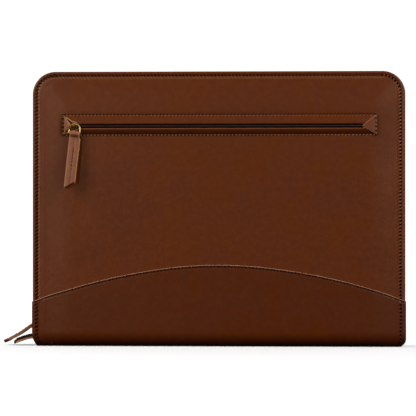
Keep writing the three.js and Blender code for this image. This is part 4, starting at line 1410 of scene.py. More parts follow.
    def side_path(self, side: Side, hand: int) -> tuple[np.ndarray, np.ndarray]:
        """Path of the border's stitches over the wrap, down to the foot.

        Args:
            side: The half of the case.
            hand: Sign of the side, -1 on the left.

        Returns:
            Points and facing directions.
        """
        f = self.form
        top = float(f.arch(np.array(f.half))) - 3.2
        z = np.linspace(4.6, top, 60)
        x = f.foot_limit(z, f.overhang, hand) - self.side_stitch() - (0.9 if hand > 0 else 0.0)
        depth = f.face(np.minimum(x, f.half), np.maximum(z, f.spine_roll), False)
        depth += f.wrap_leather + f.clearance
        turn = np.arcsin(np.clip((f.spine_roll - z) / f.spine_roll, 0, 1))
        depth = f.spine_half + (depth - f.spine_half - 0.25) * np.cos(turn)
        points = np.stack([hand * x, side.value * depth, z], axis=-1)
        facing = np.stack([np.zeros_like(z), side.value * np.cos(turn), -np.sin(turn)], axis=-1)
        return points, facing

    def dress(self, border: Seam, short: Seam, edge: Seam) -> None:
        """Builds, dresses and seats the wrap and its stitches.

        Args:
            border: The border's seam on the left.
            short: The border's seam on the right.
            edge: The seam below the arched edge.
        """
        seat(self.make(), self.finishes.wrap, "wrap_leather", "spine_wrap")
        edge.sew("wrap_edge_stitches", [self.edge_path(side) for side in Side], "wrap_leather")
        for hand, seam in ((-1, border), (1, short)):
            name = "wrap_left_stitches" if hand < 0 else "wrap_right_stitches"
            seam.sew(name, [self.side_path(side, hand) for side in Side], "wrap_leather")


# Sweeps along the case's sides


def arc_rows(cx: float, cz: float, radius: float, start: float, end: float, steps: int,
             flip: bool = False) -> list[tuple[float, float, float, float]]:
    """Stations of an arc, each a point and the direction to the arc's centre.

    Args:
        cx: X of the centre.
        cz: Z of the centre.
        radius: The arc's radius.
        start: First angle.
        end: Last angle.
        steps: Number of spans.
        flip: Whether the direction points away from the centre.

    Returns:
        Rows of X, Z, inward X and inward Z.
    """
    sign = -1 if flip else 1
    rows = []
    for i in range(steps + 1):
        a = start + (end - start) * i / steps
        rows.append((cx + radius * math.cos(a), cz + radius * math.sin(a),
                     -sign * math.cos(a), -sign * math.sin(a)))
    return rows


def rounded_box(inset_from: float, inset_to: float, depth_from: float, depth_to: float,
                radius: float) -> list[tuple[float, float]]:
    """A rectangular section with rounded corners.

    Args:
        inset_from: Lowest inset.
        inset_to: Highest inset.
        depth_from: Lowest depth.
        depth_to: Highest depth.
        radius: Radius of its corners.

    Returns:
        Points of inset and depth.
    """
    corners = ((inset_to, depth_to, 0.0), (inset_from, depth_to, 0.5), (inset_from, depth_from, 1.0),
               (inset_to, depth_from, 1.5))
    points = []
    for inset, depth, turn in corners:
        cx = inset - radius if inset == inset_to else inset + radius
        cz = depth - radius if depth == depth_to else depth + radius
        for i in range(4):
            a = math.pi * (turn + 0.5 * i / 3)
            points.append((cx + radius * math.cos(a), cz + radius * math.sin(a)))
    return points


@dataclass(frozen=True)
class ZipRoute:
    """Middle line of the main zip's tape: hem, tail, bend and the run round the sides."""

    form: CaseForm = FORM
    bend_radius: float = 4.5
    exit_height: float = 9.7
    reach: float = 16.2
    drop: float = 4.7
    tab_thickness: float = 1.9
    hem_turn: float = math.radians(110)

    ROUTE = ((0.04, 0.04), (0.37, 0.25), (0.6, 0.5), (0.83, 0.77), (1.0, 1.0))

    def tail(self) -> list[tuple[float, float, float, float]]:
        """Stations of the tail, from its end back to the side of the case."""
        f = self.form
        bend_x = -f.half + f.tape_inset - self.bend_radius
        points = [(bend_x, self.exit_height)]
        points += [(-f.half - r * self.reach, self.exit_height - d * self.drop) for r, d in self.ROUTE]
        line = SmoothLine(points)
        rows = []
        for i in range(24):
            share = 1 - i / 24
            (x, z), (tx, tz) = line.at(share)
            rows.append((x, z, -tz, -abs(tx)))
        return rows

    def hem(self, first: tuple[float, float, float, float]) -> list[tuple[float, float, float, float]]:
        """Stations of the fold round the tail's end."""
        radius = self.form.tape_thickness / 2 + self.form.clearance + self.tab_thickness / 2
        x, z, ix, iz = first
        cx, cz = x + ix * radius, z + iz * radius
        top = math.atan2(-iz, -ix)
        return arc_rows(cx, cz, radius, top + self.hem_turn, top, 10)[:-1]

    def bend(self) -> list[tuple[float, float, float, float]]:
        """Stations of the bend into the side."""
        f = self.form
        bend_x = -f.half + f.tape_inset - self.bend_radius
        return arc_rows(bend_x, self.exit_height + self.bend_radius, self.bend_radius,
                        -math.pi / 2, 0, 8, flip=True)

    def sides(self) -> list[tuple[float, float, float, float]]:
        """Stations up the left side, over the top and down to the right foot."""
        f = self.form
        rim = [tuple(r) for r in f.rim(f.tape_inset, f.foot_start + 3, 6.0)]
        foot = f.foot_radius - f.tape_inset
        gap = f.wrap_leather + 2 * f.clearance
        turn = math.asin((f.foot_start - gap) / (foot + f.tape_thickness / 2 + 1.65))
        right = arc_rows(f.half - f.foot_radius, f.foot_start, foot, 0, -turn, 6)
        return rim + right


class SmoothLine:
    """A smooth line through chosen points, read by its share of length."""

    def __init__(self, points: Sequence[Sequence[float]], power: float = 0.5) -> None:
        """Samples the line finely.

        Args:
            points: The chosen points.
            power: Spacing rule, 0.5 for even curvature between uneven points.
        """
        p = [np.array(q, float) for q in points]
        p = [2 * p[0] - p[1], *p, 2 * p[-1] - p[-2]]
        samples: list[np.ndarray] = []
        for i in range(1, len(p) - 2):
            t0 = 0.0
            t1 = t0 + max(np.linalg.norm(p[i] - p[i - 1]) ** power, 1e-6)
            t2 = t1 + max(np.linalg.norm(p[i + 1] - p[i]) ** power, 1e-6)
            t3 = t2 + max(np.linalg.norm(p[i + 2] - p[i + 1]) ** power, 1e-6)
            for t in np.linspace(t1, t2, 24, endpoint=False):
                a1 = (t1 - t) / (t1 - t0) * p[i - 1] + (t - t0) / (t1 - t0) * p[i]
                a2 = (t2 - t) / (t2 - t1) * p[i] + (t - t1) / (t2 - t1) * p[i + 1]
                a3 = (t3 - t) / (t3 - t2) * p[i + 1] + (t - t2) / (t3 - t2) * p[i + 2]
                b1 = (t2 - t) / (t2 - t0) * a1 + (t - t0) / (t2 - t0) * a2
                b2 = (t3 - t) / (t3 - t1) * a2 + (t - t1) / (t3 - t1) * a3
                samples.append((t2 - t) / (t2 - t1) * b1 + (t - t1) / (t2 - t1) * b2)
        samples.append(p[-2])
        self.samples = np.array(samples)
        steps = np.linalg.norm(np.diff(self.samples, axis=0), axis=1)
        self.runs = np.concatenate([[0], np.cumsum(steps)])
        self.length = float(self.runs[-1])

    def at(self, share: float) -> tuple[np.ndarray, np.ndarray]:
        """Point and direction at a share of the length."""
        run = min(max(share, 0.0), 1.0) * self.length
        point = np.array([np.interp(run, self.runs, column) for column in self.samples.T])
        ahead = np.array([np.interp(min(run + 0.05, self.length), self.runs, c) for c in self.samples.T])
        behind = np.array([np.interp(max(run - 0.05, 0.0), self.runs, c) for c in self.samples.T])
        way = ahead - behind
        return point, way / np.linalg.norm(way)


def sweep(draft: MeshDraft, stations: Sequence[Sequence[float]], section: Sequence[Sequence[float]],
          side: int, marks: dict[str, Sequence[float]] | None = None,
          thins: Sequence[float] | None = None) -> None:
    """Carries a closed section along stations and caps both ends.

    Args:
        draft: The draft that gets the solid.
        stations: Rows of X, Z, inward X and inward Z.
        section: Points of inset and depth.
        side: Sign of Y.
        marks: Marks for each point of the section.
        thins: Share of the section's thickness at each station, all of it if left out.
    """
    middle = float(np.mean([inset for inset, _ in section]))
    rings = []
    for i, (x, z, ix, iz) in enumerate(stations):
        thin = thins[i] if thins else 1.0
        insets = [middle + (inset - middle) * thin for inset, _ in section]
        rings.append([(x + ix * inset, side * depth, z + iz * inset)
                      for inset, (_, depth) in zip(insets, section)])
    spread_marks = {k: np.tile(v, (len(rings), 1)) for k, v in (marks or {}).items()}
    draft.add_tube(np.array(rings), **spread_marks)


def spine_narrowing(z: float) -> float:
    """Share of the case's depth that is left inside the spine's rounded edges."""
    f = FORM
    if z > f.spine_roll:
        return 1.0
    along = min((f.spine_roll - z) / (f.spine_roll - f.wrap_leather), 1.0)
    depth = f.spine_half + (f.border_depth - f.spine_half) * math.sqrt(1 - along ** 2)
    return depth / f.border_depth


# Main zip


@dataclass
class MainZip:
    """The zip round three sides: two tapes, a nylon coil and a tail that hangs out."""

    finishes: Finishes
    route: ZipRoute = ZipRoute()
    form: CaseForm = FORM
    slider_z: float = 40.0

    def stations(self, hem: bool) -> list[tuple[float, float, float, float]]:
        """All the stations, with or without the hem."""
        tail = self.route.tail()
        first = self.route.hem(tail[0]) if hem else []
        return [*first, *tail, *self.route.bend(), *self.route.sides()]

    def tape(self, side: Side) -> bpy.types.Object:
        """Builds one tape.

        Args:
            side: The half that it belongs to.

        Returns:
            The tape.
        """
        f = self.form
        half = f.tape_thickness / 2
        stations = self.stations(True)
        outside = len(stations) - len(self.route.sides())
        hem = len(stations) - len(self.stations(False))
        draft = MeshDraft()
        rings = []
        for i, (x, z, ix, iz) in enumerate(stations):
            near = abs(z - self.slider_z - 3.2) < 4.5 and x < 0 and i >= outside
            slit = 1.2 if near else 0.15
            thicker = 0.8 if i < hem else 0.35 if i < outside else 0.0
            section = rounded_box(-half - thicker, half, slit, f.tape_half, 0.25)
            ring = []
            for inset, depth in section:
                pz = z + iz * inset
                share = spine_narrowing(pz) if i >= outside else 1.0
                rib = 0.05 * math.cos(2 * math.pi * depth / 1.6)
                ring.append((x + ix * (inset - rib), side.value * depth * share, pz + iz * -rib))
            rings.append(ring)
        draft.add_tube(np.array(rings))
        return draft.build(f"zip_tape_{side.name.lower()}_weave")

    def coil_path(self) -> tuple[np.ndarray, np.ndarray]:
        """Path of the coil over the outer face of the tapes."""
        f = self.form
        lift = f.tape_thickness / 2 + 0.25
        points = []
        facing = []
        for x, z, ix, iz in self.stations(False):
            points.append((x - ix * lift, 0.0, z - iz * lift))
            facing.append((-ix, 0.0, -iz))
        return np.array(points), np.array(facing)

    def core(self) -> bpy.types.Object:
        """Builds the cord that fills the coil."""
        half = self.form.tape_thickness / 2
        draft = MeshDraft()
        section = rounded_box(-half - 0.95, -half - 0.15, -1.5, 1.5, 0.3)
        sweep(draft, self.stations(False), section, 1)
        return draft.build("coil_core")

    def tail_tab(self) -> bpy.types.Object:
        """Builds the leather tab under the tail."""
        f = self.form
        top = f.tape_thickness / 2 + f.clearance
        section = rounded_box(top, top + self.route.tab_thickness, -f.tape_half, f.tape_half, 0.45)
        stations = [r for r in self.route.tail() if r[0] < -f.half + 3.2]
        x, z, ix, iz = stations[0]
        ends = [(x + iz * out, z - ix * out, ix, iz) for out in (1.0, 0.9, 0.6)]
        raw = [0.0 if abs(d) < f.tape_half - 0.4 else 0.9 for _, d in section]
        draft = MeshDraft()
        thins = [0.35, 0.7, 0.95, *([1.0] * len(stations))]
        sweep(draft, [*ends, *stations], section, 1, {"raw": raw}, thins)
        return draft.build("zip_tail_tab_leather")

    def dress(self, coils: PathTree) -> None:
        """Builds, dresses and seats the zip."""
        for side in Side:
            seat(self.tape(side), self.finishes.tape, "zip_tape", f"zip_tape_{side.name.lower()}")
        teeth = coils.run("coil_teeth", [self.coil_path()], self.finishes.coil, pitch=0.8, radius=0.33,
                          reach_start=-2.15, reach_end=0.75, rise=2.3, sink=-0.1,
                          slant=math.pi / 2, half_turn=math.pi)
        chain = join("main_zip_coil", [teeth, self.core()])
        seat(chain, self.finishes.coil, "zip_coil", "zip_chain")
        seat(self.tail_tab(), self.finishes.tail, "tab_leather", "zip_tail_tab")


@dataclass
class Edging:
    """The leather edging under each panel's border, with the wall that holds the tape."""

    finishes: Finishes
    form: CaseForm = FORM

    SOLID_CORNER = 19.0  # the solids' own corner, a little tighter than the photograph's

    def ease_corners(self, mesh: bpy.types.Mesh) -> None:
        """Rounds a copied mesh's upper corners as the panels' are, at the same insets.

        Args:
            mesh: The copy, whose points are moved.
        """
        f = self.form
        more = f.corner - self.SOLID_CORNER
        points = np.empty(3 * len(mesh.vertices), np.float32)
        mesh.vertices.foreach_get("co", points)
        points = points.reshape(-1, 3) / MM
        out_x = np.abs(points[:, 0]) - (f.straight + more)
        out_z = points[:, 2] - (f.shoulder + more)
        distance = np.hypot(out_x, out_z)
        turned = (out_x > -0.01) & (out_z > -0.01) & (distance > 1.0)
        share = (distance[turned] + more) / distance[turned]
        points[turned, 0] = np.sign(points[turned, 0]) * (f.straight + out_x[turned] * share)
        points[turned, 2] = f.shoulder + out_z[turned] * share
        mesh.vertices.foreach_set("co", (points * MM).ravel())

    def dress(self, seam: Seam) -> None:
        """Bevels the solids' own shape, dresses it and sews the tape to it.

        Args:
            seam: The seam that holds the tape.
        """
        for side in Side:
            node = f"{side.name.lower()}_edging"
            piece = softened_copy(node, f"{node}_leather", 0.3)
            self.ease_corners(piece.data)
            seat(piece, self.finishes.edging, "edging_leather", node)
        f = self.form
        paths = []
        for side in Side:
            rim = f.rim(f.wall_inset - 0.05, 24.0, 3.0)
            depth = np.full(len(rim), f.wall_end + 1.1)
            points = np.stack([rim[:, 0], side.value * depth, rim[:, 1]], axis=-1)
            facing = np.stack([-rim[:, 2], np.zeros(len(rim)), -rim[:, 3]], axis=-1)
            paths.append((points, facing))
        seam.sew("tape_stitches", paths, "edging_leather")


def softened_copy(node: str, name: str, bevel: float) -> bpy.types.Object:
    """Copies a solid with its edges rounded.

    Args:
        node: The solid's name.
        name: Name of the copy.
        bevel: Width of the rounding in millimetres.

    Returns:
        The copy.
    """
    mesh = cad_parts[node].data.copy()
    mesh.materials.clear()
    work = bmesh.new()
    work.from_mesh(mesh)
    bmesh.ops.remove_doubles(work, verts=work.verts, dist=5e-6)
    bmesh.ops.dissolve_limit(work, angle_limit=math.radians(0.5), verts=work.verts, edges=work.edges)
    work.to_mesh(mesh)
    work.free()
    piece = bpy.data.objects.new(name, mesh)
    bpy.context.scene.collection.objects.link(piece)
    modifier = piece.modifiers.new("rounding", "BEVEL")
    modifier.width = bevel * MM
    modifier.segments = 2
    modifier.limit_method = "ANGLE"
    modifier.angle_limit = math.radians(40)
    modifier.harden_normals = False
    bpy.context.view_layer.update()
    plain = bpy.data.meshes.new_from_object(piece.evaluated_get(bpy.context.evaluated_depsgraph_get()))
    bpy.data.objects.remove(piece)
    rounded = bpy.data.objects.new(name, plain)
    bpy.context.scene.collection.objects.link(rounded)
    for key in MeshDraft.MARKS:
        plain.attributes.new(key, "FLOAT", "POINT")
    for polygon in plain.polygons:
        polygon.use_smooth = True
    plain.set_sharp_from_angle(angle=math.radians(50))
    return rounded


# Pocket zip, its tabs, sliders and pulls


@dataclass
class PocketZip:
    """The zip in the front panel's slot, with a leather tab at each end."""

    finishes: Finishes
    form: CaseForm = FORM

    LIFTED = ((0.0, 0.0), (0.13, 0.06), (0.27, 0.2), (0.42, 0.4), (0.6, 0.65), (0.8, 0.87), (1.0, 1.0))

    # Share of the lifted tab's reach, and height of its upper and lower edge there
    LOBE = ((0.0, 0.06, 0.15, 0.3, 0.5, 0.7, 0.85, 0.95, 1.0),
            (216.8, 216.2, 215.3, 213.9, 212.2, 210.5, 209.2, 208.2, 207.2),
            (198.6, 199.6, 201.0, 202.4, 203.4, 204.2, 204.9, 205.7, 206.6))

    TAB_THICKNESS = 1.2
    TAB_ROWS = 22
    TAB_COLUMNS = 16
    TAB_LEVELS = (0.85, 0.5, 0.15)

    def floor_depth(self, x: np.ndarray) -> np.ndarray:
        """Depth of the tape's outer face."""
        f = self.form
        return f.face(x, np.full_like(x, f.slot_z), False) - f.panel_leather - f.clearance

    def coil_path(self) -> tuple[np.ndarray, np.ndarray]:
        """Path of the coil along the slot."""
        f = self.form
        x = np.linspace(f.seam_left + 1.4, f.slot_end_x, 160)
        points = np.stack([x, -(self.floor_depth(x) + 0.25), np.full_like(x, f.slot_z)], axis=-1)
        return points, np.tile([0.0, -1.0, 0.0], (len(points), 1))

    def core(self) -> bpy.types.Object:
        """Builds the cord that fills the coil."""
        f = self.form
        x = np.linspace(f.seam_left + 1.4, f.slot_end_x, 80)
        depth = self.floor_depth(x)
        section = rounded_box(0.0, 0.8, -1.5, 1.5, 0.3)
        draft = MeshDraft()
        rings = []
        for at, floor in zip(x, depth):
            rings.append([(at, -(floor + 0.15 + out), f.slot_z + up) for out, up in section])
        draft.add_tube(np.array(rings))
        return draft.build("pocket_coil_core")

    def tab(self, name: str, base_x: float, reach: float, rise: float,
            curl: Sequence[tuple[float, float]], lips: bool) -> bpy.types.Object:
        """Builds a three-cornered tab that follows the panel.

        Args:
            name: The piece's name.
            base_x: X of its sewn edge.
            reach: Way from there to its point.
            rise: Rise of its point above the panel.
            curl: Shares of the reach and the rise.
            lips: Whether it lies on the slot's lips.

        Returns:
            The tab.
        """
        f = self.form
        line = SmoothLine([(base_x + r * reach, f.clearance + h * rise) for r, h in curl])
        across = [-1 + 2 * i / self.TAB_COLUMNS for i in range(self.TAB_COLUMNS + 1)]
        thick = self.TAB_THICKNESS
        pale = 0.3 if reach > 0 else 1.0
        rings = []
        for i in range(self.TAB_ROWS + 1):
            (x, lift), (tx, tl) = line.at(i / self.TAB_ROWS)
            share = (x - base_x) / reach
            lean = np.array([-tl, tx]) * math.copysign(1.0, tx)
            low, high = self.tab_edges(share, reach > 0)
            bulge = 0.9 * share if reach > 0 else 0.0
            outer = zip(self.tab_line(across, low, high, 0.35), across)
            points = [(z, thick + bulge * (1 - w * w)) for z, w in outer]
            points += [(high, thick * level) for level in self.TAB_LEVELS]
            points += [(z, 0.0) for z in reversed(self.tab_line(across, low, high, 0.15))]
            points += [(low, thick * level) for level in reversed(self.TAB_LEVELS)]
            rings.append([self.tab_point(x, z, lift, lean, height, lips) for z, height in points])
        edge = len(self.TAB_LEVELS)
        raw = [*([0.0] * len(across)), *([pale] * edge), *([0.0] * len(across)), *([1.0] * edge)]
        draft = MeshDraft()
        draft.add_tube(np.array(rings), raw=np.tile(raw, (len(rings), 1)))
        return draft.build(name)

    def tab_edges(self, share: float, lifted: bool) -> tuple[float, float]:
        """Heights of a tab's lower and upper edge.

        Args:
            share: Share of its reach.
            lifted: Whether it is the curled one at the slider.

        Returns:
            The lower and the upper height.
        """
        f = self.form
        if lifted:
            shares, upper, lower = self.LOBE
            return float(np.interp(share, shares, lower)), float(np.interp(share, shares, upper))
        return (f.seam_bottom + share * (f.slot_z - 0.5 - f.seam_bottom),
                f.seam_top + share * (f.slot_z + 0.5 - f.seam_top))

    def tab_line(self, across: Sequence[float], low: float, high: float, edge: float) -> list[float]:
        """Heights across a tab, drawn in a little at both edges."""
        inner_low = low + edge
        inner_high = max(high - edge, inner_low + 0.05)
        return [inner_low + (inner_high - inner_low) * (w + 1) / 2 for w in across]

    def tab_point(self, x: float, z: float, lift: float, lean: np.ndarray, thickness: float,
                  lips: bool) -> tuple[float, float, float]:
        """A point of a tab at a height above its underside."""
        face = float(self.form.face(np.array(x), np.array(z), lips))
        return (x + lean[0] * thickness, -(face + lift + lean[1] * thickness), z)

    def seam_paths(self) -> list[tuple[np.ndarray, np.ndarray]]:
        """Paths of the stitched rectangle, its uprights lying over the tabs."""
        f = self.form
        out = []
        x = np.linspace(f.seam_left + 1.65, f.seam_right - 1.65, 120)
        for z in (f.seam_top, f.seam_bottom):
            level = np.full_like(x, z)
            depth = f.face(x, level, True) - 0.2
            out.append((np.stack([x, -depth, level], axis=-1), np.tile([0.0, -1.0, 0.0], (len(x), 1))))
        for seam in (f.seam_left, f.seam_right):
            z = np.linspace(f.seam_bottom, f.seam_top, 20)
            at = np.full_like(z, seam)
            depth = f.face(at, z, True) + 1.6
            out.append((np.stack([at, -depth, z], axis=-1), np.tile([0.0, -1.0, 0.0], (len(z), 1))))
        return out

    def dress(self, seam: Seam, low_seam: Seam, end_seam: Seam, coils: PathTree) -> None:
        """Builds, dresses and seats the zip, its tabs and its seams.

        Args:
            seam: The seam above the slot.
            low_seam: The seam below the slot, whose paler threads catch the light.
            end_seam: The seam over the tabs.
            coils: The tree of the coil.
        """
        f = self.form
        tape = softened_copy("pocket_zip_tape", "pocket_zip_tape_weave", 0.2)
        seat(tape, self.finishes.tape, "zip_tape", "pocket_zip_tape")
        teeth = coils.run("pocket_coil_teeth", [self.coil_path()], self.finishes.coil, pitch=0.8,
                          radius=0.33, reach_start=-2.15, reach_end=0.75, rise=2.3, sink=-0.1,
                          slant=math.pi / 2, half_turn=math.pi)
        chain = join("pocket_zip_coil", [teeth, self.core()])
        seat(chain, self.finishes.coil, "zip_coil", "pocket_zip_chain")
        # A brown row of rods along the coil's middle paints the highlight on its crest.
        points, facing = self.coil_path()
        lightened = coils.run("pocket_coil_ridge", [(points - (0, 1.3, -0.3), facing)], self.finishes.highlight_coil,
                         pitch=1.1, radius=0.36, reach_start=-0.5, reach_end=0.5, rise=0.3, sink=0.0,
                         slant=0.35)
        seat(lightened, self.finishes.highlight_coil, "zip_coil")
        lifted = self.tab("pocket_tab_left_leather", f.seam_left + 1.2, 7.2, 5.6, self.LIFTED, False)
        seat(lifted, self.finishes.rubbed_tab, "tab_leather", "pocket_tab_left")
        flat_curl = tuple((i / 6, 0.0) for i in range(7))
        flat = self.tab("pocket_tab_right_leather", f.seam_right + 1.0, -(f.tab_length + 1.0), 0.0,
                        flat_curl, True)
        seat(flat, self.finishes.tab, "tab_leather", "pocket_tab_right")
        upper, lower, *ends = self.seam_paths()
        seam.sew("slot_upper_stitches", [upper], "panel_leather")
        low_seam.sew("slot_lower_stitches", [lower], "panel_leather")
        end_seam.sew("slot_end_stitches", ends, "panel_leather")


@dataclass(frozen=True)
class PullForm:
    """Sizes of a slider, its ring and its strap."""

    plate: float = 1.1
    chain_top: float = 1.65
    chain_seat: float = 0.15
    bridge_length: float = 6.0
    bridge_thickness: float = 0.9
    wire: float = 0.55
    ring_half: float = 5.15
    ring_height: float = 8.6
    ring_corner: float = 1.3
    ring_tilt: float = math.radians(9)
    strap_width: float = 10.6
    neck_width: float = 8.5
    neck_length: float = 4.4
    neck_slope: float = 1.5
    leather: float = 1.4
    layer_gap: float = 0.2
    eye_gap: float = 0.5
    slant: float = 6.4
    taper: float = 0.6
    neck_offset: float = 0.0
    slider_shift: float = 0.0
    ring_shift: float = 0.0

    @property
    def bridge_floor(self) -> float:
        """Height of the slider's plate above the tape's outer face."""
        return self.chain_top + self.chain_seat + self.plate

    @property
    def hold_x(self) -> float:
        """Where the wire lies along the slider."""
        return -self.bridge_length / 2 + self.bridge_thickness + 0.3 + self.wire + self.ring_shift


@dataclass
class Pull:
    """A slider with its ring and its folded leather strap."""

    prefix: str
    finishes: Finishes
    slider_place: Matrix
    turn: Matrix
    hold: tuple[float, float, float]
    ring_seat: float
    strap_lean: float
    route: Sequence[tuple[float, float]]
    sizes: PullForm = PullForm()
    raw_edge: float = 1.0
    swell: float = 1.0
    under_shade: float = 0.0
    under_reach: float = 0.0
    form: CaseForm = FORM

    EYE_CLOSE = 3.6
    CREASE = 2.7

    def place(self) -> Matrix:
        """Place of the ring's bar, with the pull's turn."""
        s = self.sizes
        seat_point = self.slider_place @ Vector((s.hold_x, 0, s.bridge_floor + self.ring_seat))
        tilt = Matrix.Rotation(-s.ring_tilt, 4, "X")
        bar = -(tilt @ Vector(self.hold))
        return Matrix.Translation(seat_point) @ self.turn @ Matrix.Translation(bar)

    def moved(self, points: np.ndarray, place: Matrix) -> np.ndarray:
        """Carries points to their place on the case."""
        m = np.array(place)
        return points @ m[:3, :3].T + m[:3, 3]

    def ring(self) -> bpy.types.Object:
        """Builds the ring: a flat bar below and a round bow above."""
        s = self.sizes
        corner = s.ring_half - s.ring_corner
        bow = s.ring_height - s.ring_half
        rows = [*arc_rows(corner, s.ring_corner, s.ring_corner, -math.pi / 2, 0, 8),
                *arc_rows(0, bow, s.ring_half, 0, math.pi, 40),
                *arc_rows(-corner, s.ring_corner, s.ring_corner, math.pi, 1.5 * math.pi, 8)]
        rings = []
        for x, z, ix, iz in rows:
            ring = []
            for i in range(14):
                a = 2 * math.pi * i / 14
                out = s.wire * math.cos(a)
                ring.append((x - ix * out, s.wire * math.sin(a), z - iz * out))
            rings.append(ring)
        points = np.array(rings)
        place = self.place() @ Matrix.Rotation(-s.ring_tilt, 4, "X")
        draft = MeshDraft()
        index = draft.add_points(self.moved(points, place))
        draft.add_ring(np.concatenate([index, index[:1]]))
        return draft.build(f"{self.prefix}_pull_ring_brass")

    def strap_rows(self) -> list[tuple[np.ndarray, float]]:
        """Middle points of the folded strip and their run along the strap."""
        s = self.sizes
        line = SmoothLine(self.route)
        layer = s.leather / 2 + s.layer_gap / 2
        eye = s.wire + s.eye_gap + s.leather / 2
        steps = 60
        side: list[list[tuple[np.ndarray, float]]] = [[], []]
        for k, sign in enumerate((1, -1)):
            for i in range(steps):
                share = (1 - i / steps) ** 1.25
                point, way = line.at(share)
                normal = np.array([-way[1], way[0]])
                near = min(share * line.length / self.EYE_CLOSE, 1.0)
                offset = sign * (eye + (layer - eye) * (1 - (1 - near) ** 1.5))
                side[k].append((point + normal * offset, share))
        point, way = line.at(0)
        normal = np.array([-way[1], way[0]])
        loop = []
        for i in range(17):
            a = math.pi * i / 16
            loop.append((point + normal * eye * math.cos(a) - way * eye * math.sin(a), 0.0))
        rows = [*side[0], *loop, *side[1][::-1]]
        return [(middle, share * line.length) for middle, share in rows]

    def strap(self) -> bpy.types.Object:
        """Builds the folded strap with rounded, raw edges and a slanted end."""
        s = self.sizes
        line = SmoothLine(self.route)
        rows = self.strap_rows()
        half_t = s.leather / 2
        draft = MeshDraft()
        lateral = [-1.0, -0.96, -0.88, -0.7, -0.45, -0.3, -0.2, -0.1, 0.0, 0.1, 0.2, 0.3, 0.45, 0.7, 0.88,
                   0.92, 0.94, 0.97, 1.0]
        rings = []
        raws = []
        rubs = []
        centres = np.array([r[0] for r in rows])
        runs = np.array([r[1] for r in rows])
        ways = np.gradient(centres, axis=0)
        ways /= np.linalg.norm(ways, axis=1)[:, None]
        bar = np.array(line.at(0)[0])
        middle = len(rows) // 2
        top = centres[middle] - bar
        outer = 1.0 if top @ np.array([-ways[middle][1], ways[middle][0]]) > 0 else -1.0
        for i, (centre, way, run) in enumerate(zip(centres, ways, runs)):
            out = np.array([-way[1], way[0]]) * outer
            share = run / line.length
            half_w = self.half_width(run)
            ring = []
            raw = []
            rub = []
            upper = [(w, half_t + self.puff(w, run)) for w in lateral]
            lower = [(w, -half_t) for w in reversed(lateral)]
            for w, level in [*upper, (1.02, 0.25), (1.02, -0.25), *lower, (-1.02, -0.25), (-1.02, 0.25)]:
                back = min((w + 1) / 2 * s.slant * share ** 3, run)
                back -= self.under_reach * share ** 8 if i < middle else 0.0
                squeeze = 0.8 if abs(w) > 0.97 and abs(level) > 0.4 else 1.0
                at = centre + out * level * squeeze + way * back * (1 if i < middle else -1)
                ring.append((w * half_w + self.lean_out(run), at[0], at[1]))
                raw.append(self.raw_edge if w > 0.93 or w < -0.985 else 0.0)
                # Lightened near the edges, as wear and painted highlight, and over the whole eye loop, as
                # painted highlight.
                rub.append(0.5 if 0.85 < abs(w) < 0.985 or run < 0.01 else 0.0)
            rings.append(ring)
            raws.append(raw)
            rubs.append(rub)
        points = np.array(rings)
        place = self.place() @ Matrix.Rotation(self.strap_lean, 4, "Y")
        # Painted shade along the stitched middle groove and in the crease below the eye.
        groove = [float(bell(np.array(w), 0.1)) * 0.4 for w in lateral]
        across = np.array([*groove, 0, 0, *([0.0] * len(lateral)), 0, 0])
        crease = bell(runs - self.CREASE, 1.2)[:, None]
        seam = crease + across * np.clip(runs - self.CREASE, 0, 1)[:, None]
        # Painted shade on the underside layer, and a painted shadow line below its slanted end.
        under = np.where(np.arange(len(rows)) < middle, self.under_shade + (runs > line.length - 1.6), 0.0)
        seam = np.clip(seam + under[:, None], 0, 1)
        draft.add_tube(self.moved(points, place), raw=np.array(raws), rub=np.array(rubs), seam=seam)
        return draft.build(f"{self.prefix}_pull_strap_leather")

    def body_share(self, run: float) -> float:
        """How far the strap has widened from its neck at a run."""
        s = self.sizes
        return min(max((run - s.neck_length) / s.neck_slope + 1, 0), 1)

    def half_width(self, run: float) -> float:
        """Half of the strap's width at a run."""
        s = self.sizes
        width = s.neck_width + (s.strap_width - s.neck_width) * self.body_share(run)
        return (width - s.taper * run / 53.0) / 2

    def lean_out(self, run: float) -> float:
        """Sideways place of the strap's middle at a run."""
        return self.sizes.neck_offset * (0.5 + 0.5 * self.body_share(run) + 0.3 * run / 53.0)

    def puff(self, w: float, run: float) -> float:
        """How far the strap's outer face swells beside its stitched middle.

        Args:
            w: Place across the strap, from -1 to 1.
            run: Place along it.

        Returns:
            The rise of the face.
        """
        body = self.body_share(run)
        sewn = 0.5 * float(bell(np.array(w), 0.17)) * (1.0 if run < 35 else 0.5)
        crease = 0.45 * float(bell(np.array(run - self.CREASE), 0.9))
        return self.swell * body * (0.35 * (1 - w ** 4) - sewn) - crease

    def stitch_path(self, start: float, end: float) -> tuple[np.ndarray, np.ndarray]:
        """Path of the stitches down the middle of the strap's front.

        Args:
            start: Run of the first stitch.
            end: Run of the last stitch.

        Returns:
            Points and facing directions.
        """
        s = self.sizes
        line = SmoothLine(self.route)
        place = self.place() @ Matrix.Rotation(self.strap_lean, 4, "Y")
        points = []
        facing = []
        for run in np.linspace(start, end, 12):
            point, way = line.at(run / line.length)
            normal = np.array([-way[1], way[0]])
            if normal[0] > 0:
                normal = -normal
            at = point + normal * (s.leather + s.layer_gap / 2 - 0.1)
            points.append((self.lean_out(run), at[0], at[1]))
            facing.append((0.0, normal[0], normal[1]))
        turned = np.array(facing) @ np.array(place)[:3, :3].T
        return self.moved(np.array(points), place), turned

